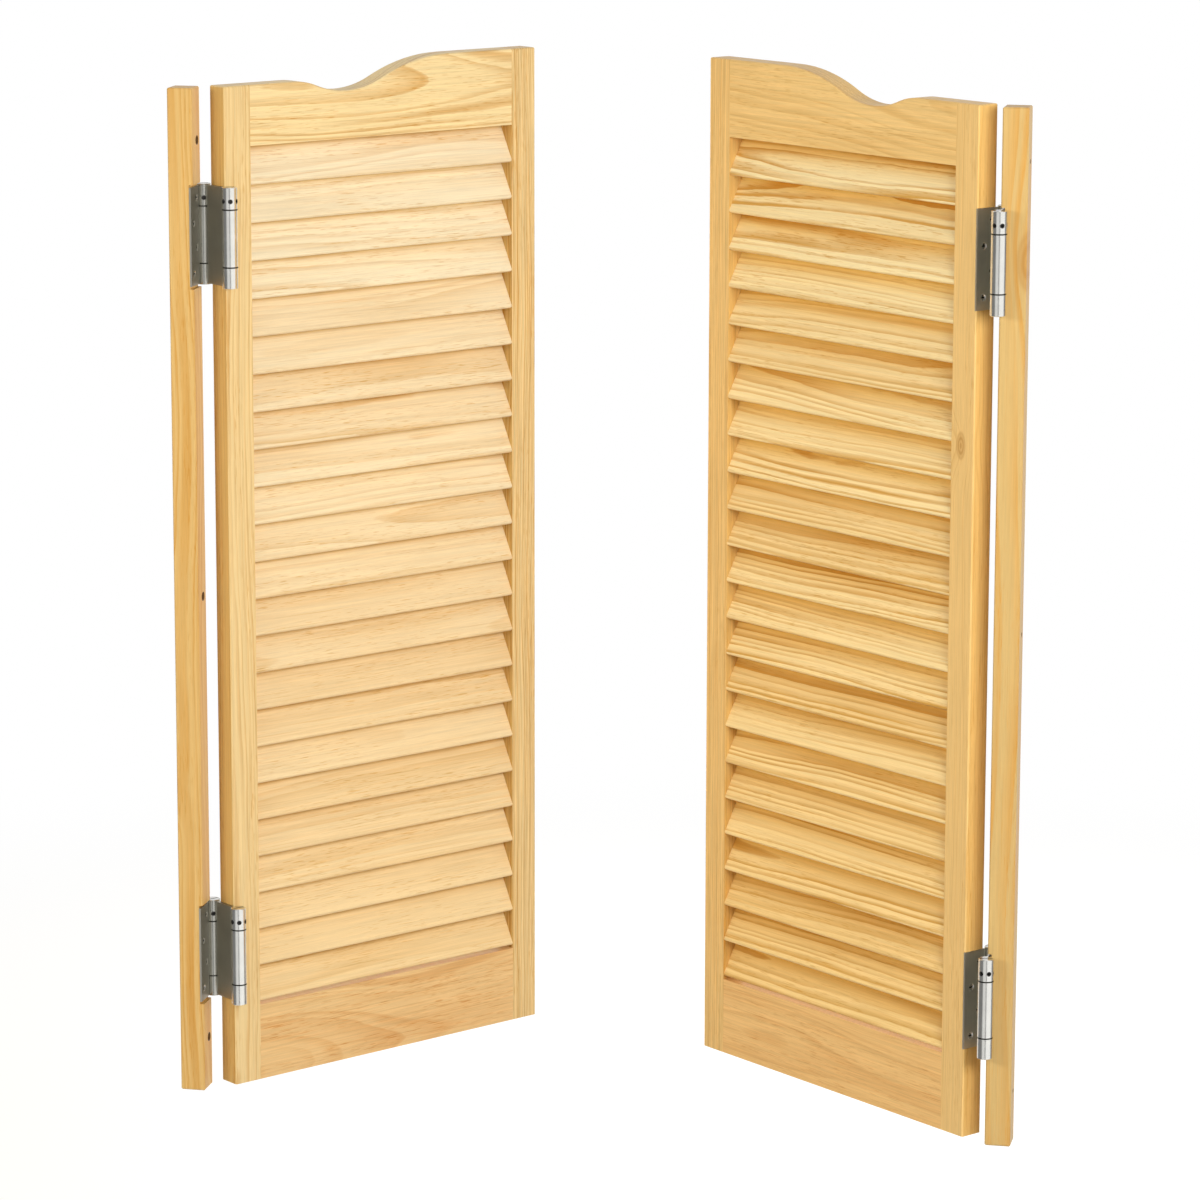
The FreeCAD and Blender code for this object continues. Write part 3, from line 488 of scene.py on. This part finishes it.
# --------------------------------------------------------------------- rails
# Pine, flat between the stiles with the grain level, on two dowels at each
# end. The top rail is band-sawn to the saloon curve and sanded, the bottom rail
# is straight.
RUSSET = (0.64, 0.29, 0.075, 1)
BOTTOM_RAIL = {"Late_Wood": RUSSET, "Contrast": 0.35, "Spread": 0.65}
TOP_RAIL = {"Late_Wood": AMBER, "Spread": 0.4}
RAILS = {
    "left_top_rail": {"seed": 44.2, "Early_Wood": (0.90, 0.70, 0.37, 1), "Contrast": 0.85,
                      **TOP_RAIL},
    "left_bottom_rail": {"seed": 52.9, "Early_Wood": (0.90, 0.66, 0.325, 1), **BOTTOM_RAIL},
    "right_top_rail": {"seed": 43.3, "Early_Wood": (0.86, 0.585, 0.235, 1), "Contrast": 0.45,
                       **TOP_RAIL},
    "right_bottom_rail": {"seed": 55.9, "Early_Wood": (0.90, 0.585, 0.235, 1), **BOTTOM_RAIL},
}
for rail, own in RAILS.items():
    make_board(rail, along_door[rail.split("_")[0]], UP, Ring_Width=0.007, Pith_Depth=0.03,
               Drift=0.09, Softness=0.7, Fibre=0.7, **own)


# -------------------------------------------------------------------- dowels
# Beech dowels, turned and cut to length, two to a corner joint. They are glued
# into the rails and the stiles, out of sight.
BEECH_PALE, BEECH_DARK = (0.62, 0.42, 0.26, 1), (0.45, 0.26, 0.14, 1)
for side in SIDES:
    low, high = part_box(side + "_dowels")
    beech = pine(side + "_beech", (low + high) / 2, along_door[side], UP, seed=61.0,
                 Ring_Width=0.002, Pith_Depth=0.05, Drift=0.01, Early_Wood=BEECH_PALE,
                 Late_Wood=BEECH_DARK, Contrast=0.3)
    dress(side + "_dowels", beech)


# --------------------------------------------------------------------- slats
# Thin pine slats, rounded on both long edges, each from another board. They
# slide into the slots of the stiles, tilted, with their noses to the front.
SLAT_TILT, SLAT_COUNT, SLAT_THICK = math.radians(28), 23, 0.0065
SLAT_LATE = (0.66, 0.36, 0.08, 1)
# each side's painted shade under the slat noses: its tint, where it begins and where it is full
SLATS = {
    "left": {"seed": 70.0, "amber": ((0.70, 0.55, 0.33, 1), 0.0100, 0.0195),
             # the top slat's pale wood: painted light, the slats paler towards the top
             "last_board": (SLAT_COUNT - 1, (0.95, 0.83, 0.59, 1)),
             "Early_Wood": (0.89, 0.67, 0.36, 1), "Contrast": 0.36,
             "Ring_Width": 0.009, "Pith_Offset": 0.0, "Drift": 0.045},
    "right": {"seed": 113.0, "amber": ((0.79, 0.61, 0.28, 1), -0.010, 0.020),
              "last_board": (SLAT_COUNT - 1, (0.96, 0.79, 0.44, 1)),
              "Early_Wood": (0.92, 0.66, 0.285, 1), "Contrast": 1.1,
              "Ring_Width": 0.0065, "Pith_Offset": 0.032, "Drift": 0.034},
}


def door_place(side):
    """A door's own frame: its origin is on the rear barrel's axis, x runs along
    the closed doorway and z up."""
    axis = Vector(joint_of[side + "_rear_barrels"]["pos_m"])
    return Matrix.Translation(axis) @ Matrix.Rotation(door_turn[side], 4, "Z")


def box_in(node, place):
    """Lowest and highest corner of a piece in the frame `place`."""
    back = np.array(place.inverted())
    corners = np.array([tuple(vertex.co) + (1.0,) for vertex in nodes[node].data.vertices])
    local = (corners @ back.T)[:, :3]
    return Vector(local.min(axis=0)), Vector(local.max(axis=0))


for side, own in SLATS.items():
    low, high = box_in(side + "_louvres", door_place(side))
    sine, cosine = math.sin(SLAT_TILT), math.cos(SLAT_TILT)
    lean = Matrix.Rotation(door_turn[side], 3, "Z") @ Vector((0, sine, cosine))
    # every slat rises by the same step; the rest of the height is one slat
    rise = (high.y - low.y - SLAT_THICK * cosine) * cosine / sine + SLAT_THICK * sine
    step = (high.z - low.z - rise) / (SLAT_COUNT - 1)
    first = door_place(side) @ Vector(((low.x + high.x) / 2, (low.y + high.y) / 2,
                                       low.z + rise / 2))
    slat_pine = pine(side + "_slat_pine", first, along_door[side], lean,
                     row=(step * cosine, step * sine), Pith_Depth=0.02, Knots=0.012,
                     Late_Wood=SLAT_LATE, Vary=1.0, Spread=0.3, Softness=0.7, Fibre=0.55, **own)
    dress(side + "_louvres", slat_pine)


# ------------------------------------------------------------- spring hinges
# Stainless strip, pressed and rolled into tubes: the flats are brushed and
# dull, the barrels turned bright. The flats and the rear barrels are painted
# darker than the steel, as painted reflection and shade. A web joins the two
# barrels of a hinge, and the leaves are screwed to the batten and the door.
SCRATCHES_ALONG, SCRATCHES_ACROSS, SMEARS = 40.0, 2600.0, 60.0
# how much smears change the colour, and scratches and smears the shine
SMEAR_DEPTH, SCRATCH_DULL, SMEAR_DULL = 0.15, 0.18, 0.1


def brushed_group():
    """Fine scratches along x of the given vector, in metres, and smears."""
    group, tree, given = new_group("Brushed steel", [
        ("Vector", "Vector", None), ("Steel", "Color", (0.5, 0.5, 0.5, 1)),
        ("Shine", "Float", 0.3), ("Depth", "Float", 0.2)],
        [("Color", "Color"), ("Roughness", "Float"), ("Height", "Float")])
    along, across, through = tree.split(given["Vector"])
    drawn_out = tree.combine(tree.times(along, SCRATCHES_ALONG),
                             tree.times(across, SCRATCHES_ACROSS),
                             tree.times(through, SCRATCHES_ACROSS))
    scratch = tree.noise(drawn_out, detail=3.0, roughness=0.65)["Fac"]
    smear = tree.noise(tree.scaled(given["Vector"], SMEARS), detail=2.0)["Fac"]
    tone = tree.swing(scratch, given["Depth"], tree.swing(smear, SMEAR_DEPTH, 1.0))
    dull = tree.swing(scratch, SCRATCH_DULL, tree.swing(smear, SMEAR_DULL, given["Shine"]))
    close_group(tree, Color=tree.scaled(given["Steel"], tone), Roughness=dull, Height=scratch)
    return group


brushed = brushed_group()
# the near black painted as shade in barrel seams and screw recesses
SHADE_DARK = (0.05, 0.045, 0.035, 1)
BARREL_R, BARREL_SLACK = 0.008, 0.0002
# how far from the middle of a seam its painted shade fades out and is full
SEAM_EDGE = (0.0009, 0.0005)
# a turned barrel is smoother than the flats and its scratches are shallower
BARREL_SHINE, BARREL_DEPTH = -0.23, -0.18


def steel(name, colour, shine, depth=0.3, grain=UP, over=ALONG_DOORWAY, barrels=(), seams=(),
          shadow=None):
    """Brushed steel. `barrels` are upright lines, each with the colour of the
    steel within a barrel's radius of it, and there is a seam of painted shade
    at each height in `seams`. `shadow` names an attribute that is 1 where the
    steel is painted dark as shade."""
    material, tree = new_material(name)
    place = tree.node("ShaderNodeTexCoord").outputs["Object"]
    strip = tree.node("ShaderNodeMapping", vector_type="TEXTURE")
    strip.inputs["Rotation"].default_value = board_turn(grain, over)
    tree.join(place, strip.inputs["Vector"])
    marks = tree.node("ShaderNodeGroup", node_tree=brushed)
    tree.join(strip.outputs["Vector"], marks.inputs["Vector"])
    marks.inputs["Steel"].default_value = colour
    marks.inputs["Shine"].default_value = shine
    marks.inputs["Depth"].default_value = depth
    # painted shade where the attribute is 1
    if shadow:
        painted_dark = tree.node("ShaderNodeAttribute", attribute_name=shadow).outputs["Fac"]
        tree.join(tree.blend(painted_dark, colour, SHADE_DARK), marks.inputs["Steel"])
    if barrels:
        in_barrel, rolled = 0.0, colour
        for axis, bright in barrels:
            inside = tree.math("LESS_THAN", tree.off_line(place, axis, (1, 1, 0)),
                               BARREL_R + BARREL_SLACK)
            in_barrel = tree.math("MAXIMUM", inside, in_barrel)
            rolled = tree.blend(inside, rolled, bright)
        # a seam of painted shade where each leaf's tube meets the web's knuckles
        height, in_seam = tree.split(place)[2], 0.0
        for seam in seams:
            apart = tree.math("ABSOLUTE", tree.minus(height, seam))
            in_seam = tree.math("MAXIMUM", tree.ease(apart, *SEAM_EDGE), in_seam)
        in_seam = tree.times(in_seam, in_barrel)
        tree.join(tree.blend(in_seam, rolled, SHADE_DARK), marks.inputs["Steel"])
        tree.join(tree.times_plus(in_barrel, BARREL_SHINE, shine), marks.inputs["Shine"])
        tree.join(tree.times_plus(in_barrel, BARREL_DEPTH, depth), marks.inputs["Depth"])
    close_material(tree, marks, marks.outputs["Color"], bump_strength=0.05,
                   bump_depth=0.00003, Metallic=1.0)
    return material


LEVELS = ("lower", "upper")
# painted reflection: flats darker than the steel, the left ones most
FLAT_PAINTED_DARK = {"left": (0.52, 0.495, 0.42, 1), "right": (0.70, 0.68, 0.60, 1)}
# the rear barrels are painted darker than the front ones, as shade between web and leaf
REAR_PAINTED_SHADE, FRONT_STEEL = (0.50, 0.49, 0.44, 1), (0.86, 0.85, 0.80, 1)
# the axis of the barrel that each leaf's tube is on
tube_axis = {leaf: Vector(joint_of[barrels]["pos_m"]) for leaf, barrels in {
    ("left", "batten"): "left_rear_barrels", ("left", "door"): "left_front_barrels",
    ("right", "batten"): "right_front_barrels", ("right", "door"): "right_rear_barrels",
}.items()}


def tube_ends(side, level, leaf):
    """The heights at which a leaf's tube meets the knuckles of the web."""
    axis = tube_axis[side, leaf]
    corners = [vertex.co for vertex in nodes["%s_%s_%s_leaf" % (side, level, leaf)].data.vertices]
    heights = [corner.z for corner in corners
               if (corner.xy - axis.xy).length < BARREL_R + BARREL_SLACK]
    return min(heights), max(heights)


for side in SIDES:
    barrels = [(Vector(joint_of[side + "_rear_barrels"]["pos_m"]), REAR_PAINTED_SHADE),
               (Vector(joint_of[side + "_front_barrels"]["pos_m"]), FRONT_STEEL)]
    seams = [end for level in LEVELS for end in tube_ends(side, level, "batten")]
    hinge_steel = steel(side + "_hinge_steel", FLAT_PAINTED_DARK[side], shine=0.46,
                        barrels=barrels, seams=seams)
    for level in LEVELS:
        for piece in ("batten_leaf", "door_leaf", "web"):
            dress("%s_%s_%s" % (side, level, piece), hinge_steel)


# ------------------------------------------------- pins, collars and springs
# Each barrel turns on a bright steel pin. A closely wound spring of hardened
# wire fills its tube, and the collar in the top knuckle winds it up: a bar is
# put into one of its holes through the windows. The collar is painted near
# black, as the shade inside the knuckle.
LEAVES = ("batten", "door")
# the collar's near black is painted shade
BRIGHT, COLLAR_SHADE = (0.62, 0.61, 0.58, 1), (0.07, 0.065, 0.06, 1)
SPRING_GREY = (0.16, 0.155, 0.15, 1)
pin_steel = steel("pin_steel", BRIGHT, shine=0.22, grain=ALONG_DOORWAY, over=UP)
collar_steel = steel("collar_steel", COLLAR_SHADE, shine=0.35)
wire_steel = steel("wire_steel", SPRING_GREY, shine=0.4)
inner_steel = {"pin": pin_steel, "collar": collar_steel, "spring": wire_steel}
for barrel in ("%s_%s_%s" % (side, level, leaf)
               for side in SIDES for level in LEVELS for leaf in LEAVES):
    for piece, metal in inner_steel.items():
        dress("%s_%s" % (barrel, piece), metal)


# -------------------------------------------------------------------- screws
# Countersunk steel wood screws with a cross recess, four to a leaf in two
# staggered rows, driven flush with it.
HEAD_R, SHANK_R, TIP_R, SCREW_L, TIP_L = 0.0035, 0.00175, 0.0001, 0.018, 0.004
SCREW_PITCH, SCREWS_IN_LEAF, FACETS = 0.0255, 4, 24
# the head's broken edge, and the dish that is pressed in with the recess
EDGE_IN, EDGE_DOWN, DISH_IN, DISH = 0.0002, 0.0001, 0.0010, 0.0007
RECESS_REACH, RECESS_HALF, RECESS_DEPTH, RECESS_TAPER = 0.0024, 0.0007, 0.002, 0.4
# how dark the cross recess and the dish of a head are painted, as shade in them
RECESS_SHADE, DISH_SHADE = 1.0, 0.3
SCREW_BRIGHT = (0.85, 0.83, 0.78, 1)
screw_steel = steel("screw_steel", SCREW_BRIGHT, shine=0.25, shadow="recess")


def screw_mesh():
    """One screw along -x, its head flush with x = 0."""
    work = bmesh.new()
    recess = work.faces.layers.float.new("recess")

    def ring(x, radius):
        return [work.verts.new((x, radius * math.cos(turn), radius * math.sin(turn)))
                for turn in (2 * math.pi * i / FACETS for i in range(FACETS))]

    def cross(x, share):
        reach, half = RECESS_REACH * share, RECESS_HALF * share
        points = []
        for quarter in range(4):
            turn = Matrix.Rotation(quarter * math.pi / 2, 2)
            points += [turn @ Vector(point) for point in
                       ((reach, -half), (reach, half), (half, half))]
        return [work.verts.new((x, *point)) for point in points]

    def pairs(loop):
        return zip(loop, loop[1:] + loop[:1])

    def skin(a, b, dark=0.0):
        for (a_1, a_2), (b_1, b_2) in zip(pairs(a), pairs(b)):
            work.faces.new((a_1, a_2, b_2, b_1))[recess] = dark

    rings = [ring(-DISH, HEAD_R - DISH_IN), ring(0, HEAD_R - EDGE_IN), ring(-EDGE_DOWN, HEAD_R),
             ring(SHANK_R - HEAD_R, SHANK_R), ring(TIP_L - SCREW_L, SHANK_R),
             ring(-SCREW_L, TIP_R)]
    for a, b in zip(rings, rings[1:]):
        skin(a, b)
    mouth, recess_floor = cross(-DISH, 1.0), cross(-RECESS_DEPTH, RECESS_TAPER)
    # the recess walls are painted dark as shade
    skin(mouth, recess_floor, dark=RECESS_SHADE)
    rims = [work.edges.get(pair) for loop in (rings[0], mouth) for pair in pairs(loop)]
    dish = bmesh.ops.triangle_fill(work, edges=rims, use_beauty=True)
    for face in dish["geom"]:
        if isinstance(face, bmesh.types.BMFace):
            face[recess] = DISH_SHADE
    work.faces.new(recess_floor)[recess] = RECESS_SHADE
    work.faces.new(rings[-1])
    bmesh.ops.recalc_face_normals(work, faces=work.faces)
    mesh = bpy.data.meshes.new("screw")
    work.to_mesh(mesh)
    work.free()
    return mesh


def screw_rows_tree():
    """The screws of two leaves: a staggered row, repeated one leaf down."""
    rows = bpy.data.node_groups.new("Screw rows", "GeometryNodeTree")
    rows.is_modifier = True
    face = rows.interface
    face.new_socket("Geometry", in_out="OUTPUT", socket_type="NodeSocketGeometry")
    for label, kind in (("Screw", "Object"), ("Count", "Int"), ("Pitch", "Float"),
                        ("Stagger", "Float"), ("Leaf Step", "Float"), ("Top", "Vector"),
                        ("Place", "Vector"), ("Turn", "Vector"), ("Steel", "Material")):
        face.new_socket(label, in_out="INPUT", socket_type="NodeSocket" + kind)
    tree = Tree(rows)
    given = tree.node("NodeGroupInput").outputs

    def line(count, start, drop):
        """Points one below the other, `drop` apart."""
        made = tree.node("GeometryNodeMeshLine", mode="OFFSET")
        tree.join(count, made.inputs["Count"])
        tree.join(start, made.inputs["Start Location"])
        tree.join(tree.combine(0.0, 0.0, tree.times(drop, -1.0)), made.inputs["Offset"])
        return made.outputs["Mesh"]

    def on_points(points, instance):
        made = tree.node("GeometryNodeInstanceOnPoints")
        tree.join(points, made.inputs["Points"])
        tree.join(instance, made.inputs["Instance"])
        return made.outputs["Instances"]

    odd = tree.math("MODULO", tree.node("GeometryNodeInputIndex").outputs[0], 2.0)
    staggered = tree.node("GeometryNodeSetPosition")
    tree.join(line(given["Count"], given["Top"], given["Pitch"]), staggered.inputs["Geometry"])
    tree.join(tree.combine(0.0, tree.times(odd, given["Stagger"]), 0.0),
              staggered.inputs["Offset"])
    screw = tree.node("GeometryNodeObjectInfo")
    tree.join(given["Screw"], screw.inputs["Object"])
    one_leaf = on_points(staggered.outputs["Geometry"], screw.outputs["Geometry"])
    both = on_points(line(len(LEVELS), (0.0, 0.0, 0.0), given["Leaf Step"]), one_leaf)
    placed = tree.node("GeometryNodeTransform")
    tree.join(both, placed.inputs["Geometry"])
    tree.join(given["Place"], placed.inputs["Translation"])
    tree.join(given["Turn"], placed.inputs["Rotation"])
    real = tree.node("GeometryNodeRealizeInstances")
    tree.join(placed.outputs["Geometry"], real.inputs["Geometry"])
    painted = tree.node("GeometryNodeSetMaterial")
    tree.join(real.outputs["Geometry"], painted.inputs["Geometry"])
    tree.join(given["Steel"], painted.inputs["Material"])
    tree.join(painted.outputs["Geometry"], tree.node("NodeGroupOutput").inputs["Geometry"])
    return rows


def grown(name, tree, values):
    """Runs a node tree on an empty piece and keeps the result as plain mesh."""
    seed_piece = bpy.data.objects.new(name + "_seed", bpy.data.meshes.new(name + "_seed"))
    bpy.context.scene.collection.objects.link(seed_piece)
    modifier = seed_piece.modifiers.new("grow", "NODES")
    modifier.node_group = tree
    for item in tree.interface.items_tree:
        if item.item_type == "SOCKET" and item.in_out == "INPUT":
            modifier[item.identifier] = values[item.name]
    bpy.context.view_layer.update()
    evaluated = seed_piece.evaluated_get(bpy.context.evaluated_depsgraph_get())
    mesh = bpy.data.meshes.new_from_object(evaluated)
    bpy.data.objects.remove(seed_piece)
    piece = bpy.data.objects.new(name, mesh)
    bpy.context.scene.collection.objects.link(piece)
    return piece


one_screw = bpy.data.objects.new("one_screw", screw_mesh())
screw_rows = screw_rows_tree()
row_length = (SCREWS_IN_LEAF - 1) * SCREW_PITCH
# which way each leaf looks from its barrel, and what it is screwed to
leaf_seat = {
    ("left", "batten"): (0.0, "jambs"),
    ("left", "door"): (math.pi + door_turn["left"], "left_door"),
    ("right", "batten"): (math.pi, "jambs"),
    ("right", "door"): (door_turn["right"], "right_door"),
}
for (side, carrier), (turn, body) in leaf_seat.items():
    solid = "%s_%s_leaf_screws" % (side, carrier)
    axis = tube_axis[side, carrier]
    low, high = box_in(solid, Matrix.Translation(axis) @ Matrix.Rotation(turn, 4, "Z"))
    piece = grown("%s_%s_screws" % (side, carrier), screw_rows, {
        "Screw": one_screw, "Count": SCREWS_IN_LEAF, "Pitch": SCREW_PITCH,
        "Stagger": low.y - high.y + 2 * HEAD_R,
        "Leaf Step": high.z - low.z - 2 * HEAD_R - row_length,
        "Top": (high.x, high.y - HEAD_R, high.z - HEAD_R),
        "Place": axis, "Turn": (0.0, 0.0, turn), "Steel": screw_steel})
    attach(piece, body)
    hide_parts(solid)
bpy.data.objects.remove(one_screw)


# --------------------------------------------------------------------- floor
# A plain pale floor well below the doors, which hang free of it. It takes their
# soft shadow, and far from them it runs into the white of the backdrop.
FLOOR_DROP, FLOOR_HALF = 0.45, 30.0
# the grey that lights the doors, and what the camera sees on top of it
FLOOR_GREY, FLOOR_LIFT = (0.6, 0.6, 0.6, 1), 0.55
FADE_BEGINS, FADE_ENDS = 1.3, 3.2
floor_z = cad_box[0].z - FLOOR_DROP
middle = (cad_box[0] + cad_box[1]) / 2
floor_mesh = bpy.data.meshes.new("floor")
floor_mesh.from_pydata([(x * FLOOR_HALF, y * FLOOR_HALF, floor_z)
                        for x, y in ((-1, -1), (1, -1), (1, 1), (-1, 1))], [], [(0, 1, 2, 3)])
floor = bpy.data.objects.new("floor", floor_mesh)
bpy.context.scene.collection.objects.link(floor)


def joined(tree, kind, first, second, factor=None):
    """Adds two shaders, or mixes them by a factor."""
    made = tree.node(kind)
    sources = [shader for shader in (factor, first, second) if shader is not None]
    for source, target in zip(sources, made.inputs):
        tree.join(source, target)
    return made.outputs[0]


paint, tree = new_material("floor_paint")
ray = tree.node("ShaderNodeLightPath").outputs
matt = tree.node("ShaderNodeBsdfDiffuse")
matt.inputs["Color"].default_value = FLOOR_GREY
lift = tree.node("ShaderNodeEmission")
tree.join(tree.times(ray["Is Camera Ray"], FLOOR_LIFT), lift.inputs["Strength"])
near = joined(tree, "ShaderNodeAddShader", matt.outputs[0], lift.outputs[0])
on_floor = tree.node("ShaderNodeTexCoord").outputs["Object"]
away = tree.off_line(on_floor, middle, (1, 1, 0))
far = tree.times(tree.ease(away, FADE_BEGINS, FADE_ENDS), ray["Is Camera Ray"])
white = tree.node("ShaderNodeEmission").outputs[0]
ground = joined(tree, "ShaderNodeMixShader", near, white, far)
# shiny steel doesn't see the floor but the room beyond it
clear = tree.node("ShaderNodeBsdfTransparent").outputs[0]
seen = joined(tree, "ShaderNodeMixShader", ground, clear, ray["Is Glossy Ray"])
tree.join(seen, tree.node("ShaderNodeOutputMaterial").inputs["Surface"])
floor_mesh.materials.append(paint)


# -------------------------------------------------------------------- studio
# A white room with three soft lamps, one from each side and one from behind.
# Shiny things see it white behind the doors and dim in front, but for two tall
# softboxes beside the camera.
AMBIENT, WARM, WHITE = 0.40, (1.0, 0.94, 0.83, 1), (1, 1, 1, 1)
# the bearing of the camera, and how far from it the dim room turns white
ROOM_DIM, CAMERA_SIDE = 0.2, 0.21
WHITE_BEGINS, WHITE_FULL = 1.9, 2.3
# from which bearing to which each tall softbox reaches, and how bright it is
TALL_BOXES, BOX_SOFT = ((-0.80, -0.06, 0.75), (0.14, 1.5, 1.0)), 0.06
world = bpy.data.worlds.new("studio")
bpy.context.scene.world = world
world.use_nodes = True
world.node_tree.nodes.clear()
tree = Tree(world.node_tree)
east, north, _ = tree.split(tree.node("ShaderNodeTexCoord").outputs["Generated"])
azimuth = tree.minus(tree.math("ARCTAN2", east, tree.times(north, -1.0)), CAMERA_SIDE)
behind = tree.ease(tree.math("ABSOLUTE", azimuth), WHITE_BEGINS, WHITE_FULL)
room = tree.times_plus(behind, 1.0 - ROOM_DIM, ROOM_DIM)
for start, stop, glow in TALL_BOXES:
    lit = tree.times(tree.ease(azimuth, start - BOX_SOFT, start + BOX_SOFT),
                     tree.ease(azimuth, stop + BOX_SOFT, stop - BOX_SOFT))
    room = tree.times_plus(lit, glow - ROOM_DIM, room)
ray = tree.node("ShaderNodeLightPath").outputs
strength = tree.times_plus(ray["Is Glossy Ray"], tree.minus(room, AMBIENT), AMBIENT)
clear_view = tree.math("MAXIMUM", ray["Is Camera Ray"], ray["Is Transmission Ray"])
neutral = tree.math("MAXIMUM", clear_view, ray["Is Glossy Ray"])
sky = tree.node("ShaderNodeBackground")
tree.join(tree.math("MAXIMUM", strength, clear_view), sky.inputs["Strength"])
tree.join(tree.blend(neutral, WARM, WHITE), sky.inputs["Color"])
tree.join(sky.outputs[0], tree.node("ShaderNodeOutputWorld").inputs["Surface"])

LAMP_WHITE = (1, 0.99, 0.97)
LAMP_AIM = middle + Vector((0, 0, 0.1))
# each lamp's place from the middle of the doors, its width and height, watts
LAMPS = {
    "key": ((1.62, -1.80, 0.75), (1.5, 0.8), 46),
    "fill": ((-1.9, -2.45, 0.95), (1.2, 0.6), 38),
    "back": ((0.3, 2.7, 0.8), (1.8, 0.9), 40),
}
for name, (place, size, watts) in LAMPS.items():
    lamp = bpy.data.lights.new(name, "AREA")
    lamp.shape = "RECTANGLE"
    lamp.size, lamp.size_y = size
    lamp.energy = watts
    lamp.color = LAMP_WHITE
    softbox = bpy.data.objects.new(name, lamp)
    softbox.location = middle + Vector(place)
    aim = LAMP_AIM - softbox.location
    softbox.rotation_euler = aim.to_track_quat("-Z", "Y").to_euler()
    softbox.visible_glossy = False
    softbox.visible_camera = False
    bpy.context.scene.collection.objects.link(softbox)


# -------------------------------------------------------------------- camera
# Higher than the doors and to the right of them, looking a little down, with a
# long lens and everything sharp.
EYE = Vector((1.4304, -4.5304, 0.9747))
YAW, PITCH, ROLL = -0.2142, 0.1835, 0.0021
FOCAL_PIXELS, FRAME_PIXELS, FILM_WIDTH = 4675.4, 1200, 36
FRAME_SHIFT, FARTHEST = -0.08, 100
camera_data = bpy.data.cameras.new("camera")
camera = bpy.data.objects.new("camera", camera_data)
bpy.context.scene.collection.objects.link(camera)
bpy.context.scene.camera = camera
level = math.cos(PITCH)
ahead = Vector((math.sin(YAW) * level, math.cos(YAW) * level, -math.sin(PITCH)))
camera.location = EYE
camera.rotation_euler = (ahead.to_track_quat("-Z", "Y").to_matrix().to_4x4()
                         @ Matrix.Rotation(ROLL, 4, "Z")).to_euler()
camera_data.sensor_width = FILM_WIDTH
camera_data.lens = FOCAL_PIXELS / FRAME_PIXELS * FILM_WIDTH
camera_data.shift_y = FRAME_SHIFT
camera_data.clip_end = FARTHEST

bpy.context.scene.view_settings.view_transform = "Standard"
